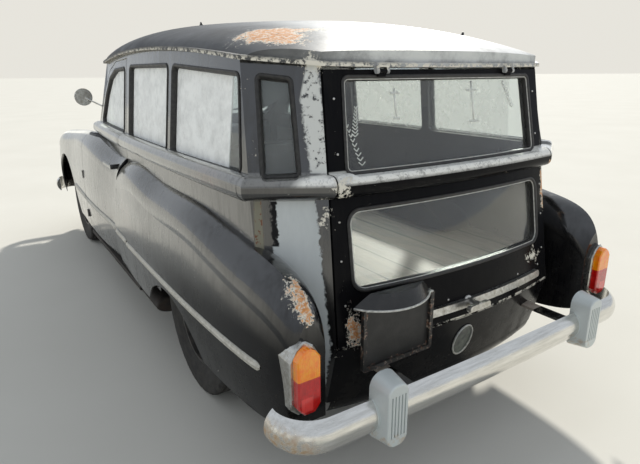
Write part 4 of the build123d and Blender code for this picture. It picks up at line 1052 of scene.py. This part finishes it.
def fit_gate_details():
    """The collars and the lock of the tailgate's handle, its screws, and the rim of the plate lamp."""
    gate = skin_of("tailgate")
    collars = []
    for across, up, radius in collar_places:
        rim = ((0.0002, radius), (0.004, radius), (0.006, radius - 0.003), (0.0065, 0.0005))
        collars.append(turned(rim, *from_behind(gate, across, up), 24))
    add_piece("handle_collars", joined(*collars), worn_chrome, "tailgate")
    barrel = ((0.0002, 0.011), (0.004, 0.011), (0.005, 0.009), (0.005, 0.0005))
    handle = skin_of("tailgate", "tailgate_handle", "plate_holder")
    lock = turned(barrel, *from_behind(handle, *lock_place), 20)
    add_piece("tailgate_lock", lock, worn_chrome, "tailgate")
    dome = ((0.0001, 0.0042), (0.0014, 0.0036), (0.0021, 0.0018), (0.0022, 0.0002))
    screws = [turned(dome, *from_behind(gate, *place), 10) for place in screw_places]
    add_piece("tailgate_screws", joined(*screws), worn_chrome, "tailgate")

    low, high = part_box("plate_holder")
    left, right = low[0] + 0.002, high[0] - 0.002
    holder = skin_of("plate_holder")
    rim = []
    for share in shares(41):
        origin = Vector((left + (right - left) * share, behind_car, plate_lamp_edge))
        hit = holder.ray_cast(origin, Vector((0, -1, 0)))[0]
        if hit is not None and hit.y > 2.0:
            rim.append(hit + Vector((0, 0.001, -0.001)))
    add_piece("plate_lamp_rim", tube(rim, 0.0036), pale_bead, "tailgate")


# Crosses on the pane: middle across, top, foot, arm height, half arm, bar width
crosses = ((0.237, 1.306, 1.212, 1.29, 0.017, 0.006), (-0.12, 1.322, 1.186, 1.292, 0.028, 0.007))

# Sprigs on the pane: root across and up, lean, length
sprigs = ((0.385, 1.078, 0.35, 0.115), (0.4, 1.165, -0.15, 0.08), (-0.35, 1.225, 0.6, 0.085))

# Crosses hung inside the left side panes: along the car
hung_places = (0.78, 1.32)


def fit_ornaments():
    """Two small crosses and three sprigs on the upper rear pane, and two crosses inside the left panes."""
    pane = skin_of("tailgate_glass")
    bars = []
    for across, top, foot, arm, reach, wide in crosses:
        high, normal = from_behind(pane, across, top, 0.0006)
        bars.append(flat_bar(from_behind(pane, across, foot, 0.0006)[0], high, wide, normal, 0.001))
        for up, half in ((arm, reach), (foot, reach * 0.9)):
            ends = [from_behind(pane, across + side * half, up, 0.0006)[0] for side in (-1, 1)]
            bars.append(flat_bar(*ends, wide, normal, 0.0012))
    for across, up, lean, length in sprigs:
        for share in shares(9):
            x, z = across + lean * share * length, up + share * length
            place, normal = from_behind(pane, x, z, 0.0006)
            for turn in (-1, 1):
                tip = from_behind(pane, x + turn * 0.012 * (1 - 0.6 * share), z + 0.01, 0.0006)[0]
                bars.append(flat_bar(place, tip, 0.0035, normal, 0.0008))
    add_piece("window_ornaments", joined(*bars), ornament_white, "tailgate")

    hung = []
    for along in hung_places:
        for start, end in (((0, 1.245), (0, 1.33)), ((-0.022, 1.305), (0.022, 1.305))):
            ends = [(0.64, along + shift, up) for shift, up in (start, end)]
            hung.append(flat_bar(*ends, 0.007, (1, 0, 0), 0.002))
    add_piece("hung_ornaments", joined(*hung), ornament_white)


def fit_roof_studs():
    """Two small dark studs on the roof."""
    roof = skin_of("roof")
    dome = ((0.0002, 0.01), (0.003, 0.01), (0.007, 0.006), (0.014, 0.005), (0.016, 0.003), (0.017, 0.0003))
    studs = [
        turned(dome, *on_surface(roof, (across, along, above_car), (0, 0, -1)), 16)
        for across, along in ((0.3, 0.42), (-0.44, 1.52))
    ]
    add_piece("roof_studs", joined(*studs), rubber)


def fit_wipers():
    """Two wipers that rest along the foot of the windscreen."""
    screen = skin_of("windscreen", "cowl")

    def on_screen(across, up, lift):
        return on_surface(screen, (across, before_screen, up), (0, 1, 0), lift)

    for name, across in (("wiper_left", 0.3), ("wiper_right", -0.22)):
        arm, blade = [], []
        for share in shares(13):
            lift = 0.012 + 0.01 * sin(pi * share)
            arm.append(on_screen(across - 0.32 * share, 1.062 + 0.045 * share, lift)[0])
            blade.append(on_screen(across - 0.06 - 0.34 * share, 1.078 + 0.04 * share, 0.005)[0])
        knob = ((-0.004, 0.013), (0.012, 0.012), (0.016, 0.006), (0.0165, 0.0005))
        boss = turned(knob, *on_screen(across, 1.06, 0.004), 20)
        add_piece(name, joined(boss, tube(arm, 0.0032), tube(blade, 0.0035)), rubber)


def fit_cabin():
    """Gauges, pedals, column lever and inside mirror."""
    face = ((-0.018, 0.043), (-0.016, 0.0435), (-0.012, 0.041), (-0.013, 0.038), (-0.0135, 0.0005))
    dials = [turned(face, (across, -0.503, 0.88), (0, 1, 0), 32) for across in (-0.058, 0.058)]
    add_piece("dash_dials", joined(*dials), pale_bead, "body")

    pedals = []
    for across in (0.24, 0.33, 0.43):
        pedals.append(tube([(across, -0.6, 0.6), (across, -0.52, 0.53), (across, -0.46, 0.44)], 0.007))
        pad = ((across, -0.472, 0.405), (across, -0.446, 0.475))
        pedals.append(flat_bar(*pad, 0.055, (0, 0.94, -0.34), 0.01))
    add_piece("pedals", joined(*pedals), rubber, "body")

    root, tip = Vector((0.3, -0.37, 0.862)), Vector((0.125, -0.3, 0.9))
    ball = ((-0.012, 0.001), (-0.01, 0.009), (0.0, 0.014), (0.01, 0.009), (0.013, 0.001))
    lever = joined(tube([root, root.lerp(tip, 0.5), tip], 0.006), turned(ball, tip, tip - root, 16))
    add_piece("gear_lever", lever, rubber, "body")

    count = 28
    oval = [(0.1 * cos(angle), along, 1.335 + 0.028 * sin(angle)) for along in (-0.215, -0.199)
            for angle in circle(count)]
    faces = grid_faces(2, count, False, True)
    faces += [tuple(range(count)), tuple(reversed(range(count, 2 * count)))]
    stem = tube([(0, -0.215, 1.36), (0, -0.222, 1.385), (0, -0.235, 1.415)], 0.006)
    add_piece("inside_mirror", joined((oval, faces), stem), worn_chrome, "body", False)


def door_trims():
    """A trim board on the inner face of each door, with an armrest and a window winder."""
    surface = skin_of("door_left")

    def inside(along, up, off):
        """A place off the door's inner face."""
        hit = surface.ray_cast(Vector((0.0, along, up)), Vector((1, 0, 0)))[0]
        return Vector((hit.x - off, along, up))

    rows, columns = 17, 15
    board_low, board_high, board_front, board_rear = 0.42, 0.955, -0.5, 0.2
    points = []
    for rise in shares(rows):
        for share in shares(columns):
            along = board_front + (board_rear - board_front) * share
            puff = 0.004 * abs(sin((along - board_front) * 22.0))
            points.append(inside(along, board_low + (board_high - board_low) * rise, 0.004 + puff))
    add_pair("door_board", (points, grid_faces(rows, columns)), trim_board, "door_left")
    rest = tube([inside(-0.3 + 0.4 * share, 0.7, 0.03) for share in shares(13)], 0.024, 12)
    pivot = inside(-0.34, 0.8, 0.008)
    winder = turned(((0.0, 0.022), (0.008, 0.02), (0.014, 0.008), (0.0145, 0.0005)), pivot, (-1, 0, 0), 24)
    bends = ((-0.012, 0, 0), (-0.018, 0.03, -0.07), (-0.04, 0.03, -0.07))
    crank = tube([pivot + Vector(bend) for bend in bends], 0.006)
    add_pair("door_fittings", joined(rest, winder, crank), worn_chrome, "door_left")


# Cushions of the front bench: name, low corner, high corner, lean back in degrees about the car's width
cushions = (
    ("seat_squab", (-0.56, -0.19, 0.47), (0.56, 0.215, 0.61), 4.0),
    ("seat_back", (-0.56, 0.2, 0.56), (0.56, 0.33, 0.985), 11.0),
)
cushion_cap = 0.024
cushion_room = 0.03


def stuffed_block(name, low, high):
    """A rounded block, swollen by cloth pressure, with shallow pleats across its width."""
    low, high = Vector(low), Vector(high)
    bpy.ops.mesh.primitive_cube_add(size=1, location=(low + high) / 2)
    cushion = bpy.context.object
    cushion.name = name
    cushion.scale = high - low - Vector((cushion_room, cushion_room, cushion_room))
    bpy.ops.object.transform_apply(location=False, rotation=False, scale=True)
    rounding = cushion.modifiers.new("rounding", "BEVEL")
    rounding.width = 0.035
    rounding.segments = 3
    grid = cushion.modifiers.new("grid", "REMESH")
    grid.mode = "VOXEL"
    grid.voxel_size = 0.007
    bpy.ops.object.modifier_apply(modifier="rounding")
    bpy.ops.object.modifier_apply(modifier="grid")
    before = [vertex.co.copy() for vertex in cushion.data.vertices]
    puff = cushion.modifiers.new("puff", "CLOTH")
    puff.settings.use_pressure = True
    puff.settings.uniform_pressure_force = 4.0
    puff.settings.effector_weights.gravity = 0.0
    puff.settings.tension_stiffness = 12.0
    for frame_number in range(1, 21):
        bpy.context.scene.frame_set(frame_number)
    bpy.ops.object.modifier_apply(modifier="puff")
    bpy.context.scene.frame_set(1)
    for vertex, start in zip(cushion.data.vertices, before):
        moved = vertex.co - start
        if moved.length > cushion_cap:
            vertex.co = start + moved.normalized() * cushion_cap
        pleat = abs(sin(vertex.co.x * 38.0)) ** 0.5
        vertex.co += vertex.co.normalized() * 0.004 * (pleat - 1)
    bpy.ops.object.shade_smooth()
    return cushion


def fit_cushions():
    """Two stuffed cushions for the bench, on a steel frame."""
    for name, low, high, lean in cushions:
        cushion = stuffed_block(name, low, high)
        cushion.rotation_euler = (radians(-lean), 0, 0)
        cushion.data.materials.clear()
        cushion.data.materials.append(seat_leather)
        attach(cushion, "body")
        if name == "seat_squab":
            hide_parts("front_seat")
    rails = []
    for x in (-0.5, 0.5):
        rails.append([(x, -0.17, 0.465), (x, 0.24, 0.45), (x, 0.3, 0.56), (x, 0.395, 0.96)])
        rails.append([(x, -0.15, 0.465), (x, -0.15, 0.331)])
        rails.append([(x, 0.2, 0.452), (x, 0.22, 0.331)])
    rails.append([(-0.5, 0.393, 0.955), (0.5, 0.393, 0.955)])
    rails.append([(-0.5, 0.24, 0.452), (0.5, 0.24, 0.452)])
    frame_tubes = [tube(rail, 0.013, 10) for rail in rails]
    add_piece("seat_frame", joined(*frame_tubes), chassis, "body")


def set_stage():
    """A pale floor out to the horizon, a soft sky and a low sun from the car's front right."""
    mesh = bpy.data.meshes.new("floor")
    corners = [(x * floor_half, y * floor_half, 0) for x, y in ((-1, -1), (1, -1), (1, 1), (-1, 1))]
    mesh.from_pydata(corners, [], [(0, 1, 2, 3)])
    floor = bpy.data.objects.new("floor", mesh)
    bpy.context.scene.collection.objects.link(floor)
    ground = Finish("floor_paint", (0.6, 0.58, 0.52))
    ground.lay((0.68, 0.66, 0.6), ground.noise(0.8, 4.0))
    mesh.materials.append(ground.surface(Roughness=0.95, Specular_IOR_Level=0.1))

    world = bpy.data.worlds.new("sky")
    bpy.context.scene.world = world
    world.use_nodes = True
    tree = world.node_tree
    lit = tree.nodes["Background"]
    seen = tree.nodes.new("ShaderNodeBackground")
    for shader, colour, strength in ((lit, sky_colour, sky_strength), (seen, backdrop_colour, 1.0)):
        shader.inputs["Color"].default_value = (*colour, 1.0)
        shader.inputs["Strength"].default_value = strength
    switch = tree.nodes.new("ShaderNodeMixShader")
    rays = tree.nodes.new("ShaderNodeLightPath")
    sources = (rays.outputs["Is Camera Ray"], lit.outputs[0], seen.outputs[0])
    for source, target in zip(sources, switch.inputs):
        tree.links.new(source, target)
    tree.links.new(switch.outputs[0], tree.nodes["World Output"].inputs["Surface"])

    light = bpy.data.lights.new("sun", "SUN")
    light.energy = sun_strength
    light.angle = sun_angle
    light.color = sun_colour
    sun = bpy.data.objects.new("sun", light)
    sun.location = sun_direction * 8
    sun.rotation_mode = "QUATERNION"
    sun.rotation_quaternion = (-sun_direction).to_track_quat("-Z", "Y")
    bpy.context.scene.collection.objects.link(sun)
    bpy.context.scene.view_settings.view_transform = "Standard"


fit_seals()
lay_strips()
cover_moulding()
fit_apron()
fit_bonnet_landing()
fit_wheels()
fit_headlamp_domes()
fit_sign()
fit_gate_details()
fit_ornaments()
fit_roof_studs()
fit_wipers()
fit_cabin()
door_trims()
fit_cushions()
place_camera()
set_stage()
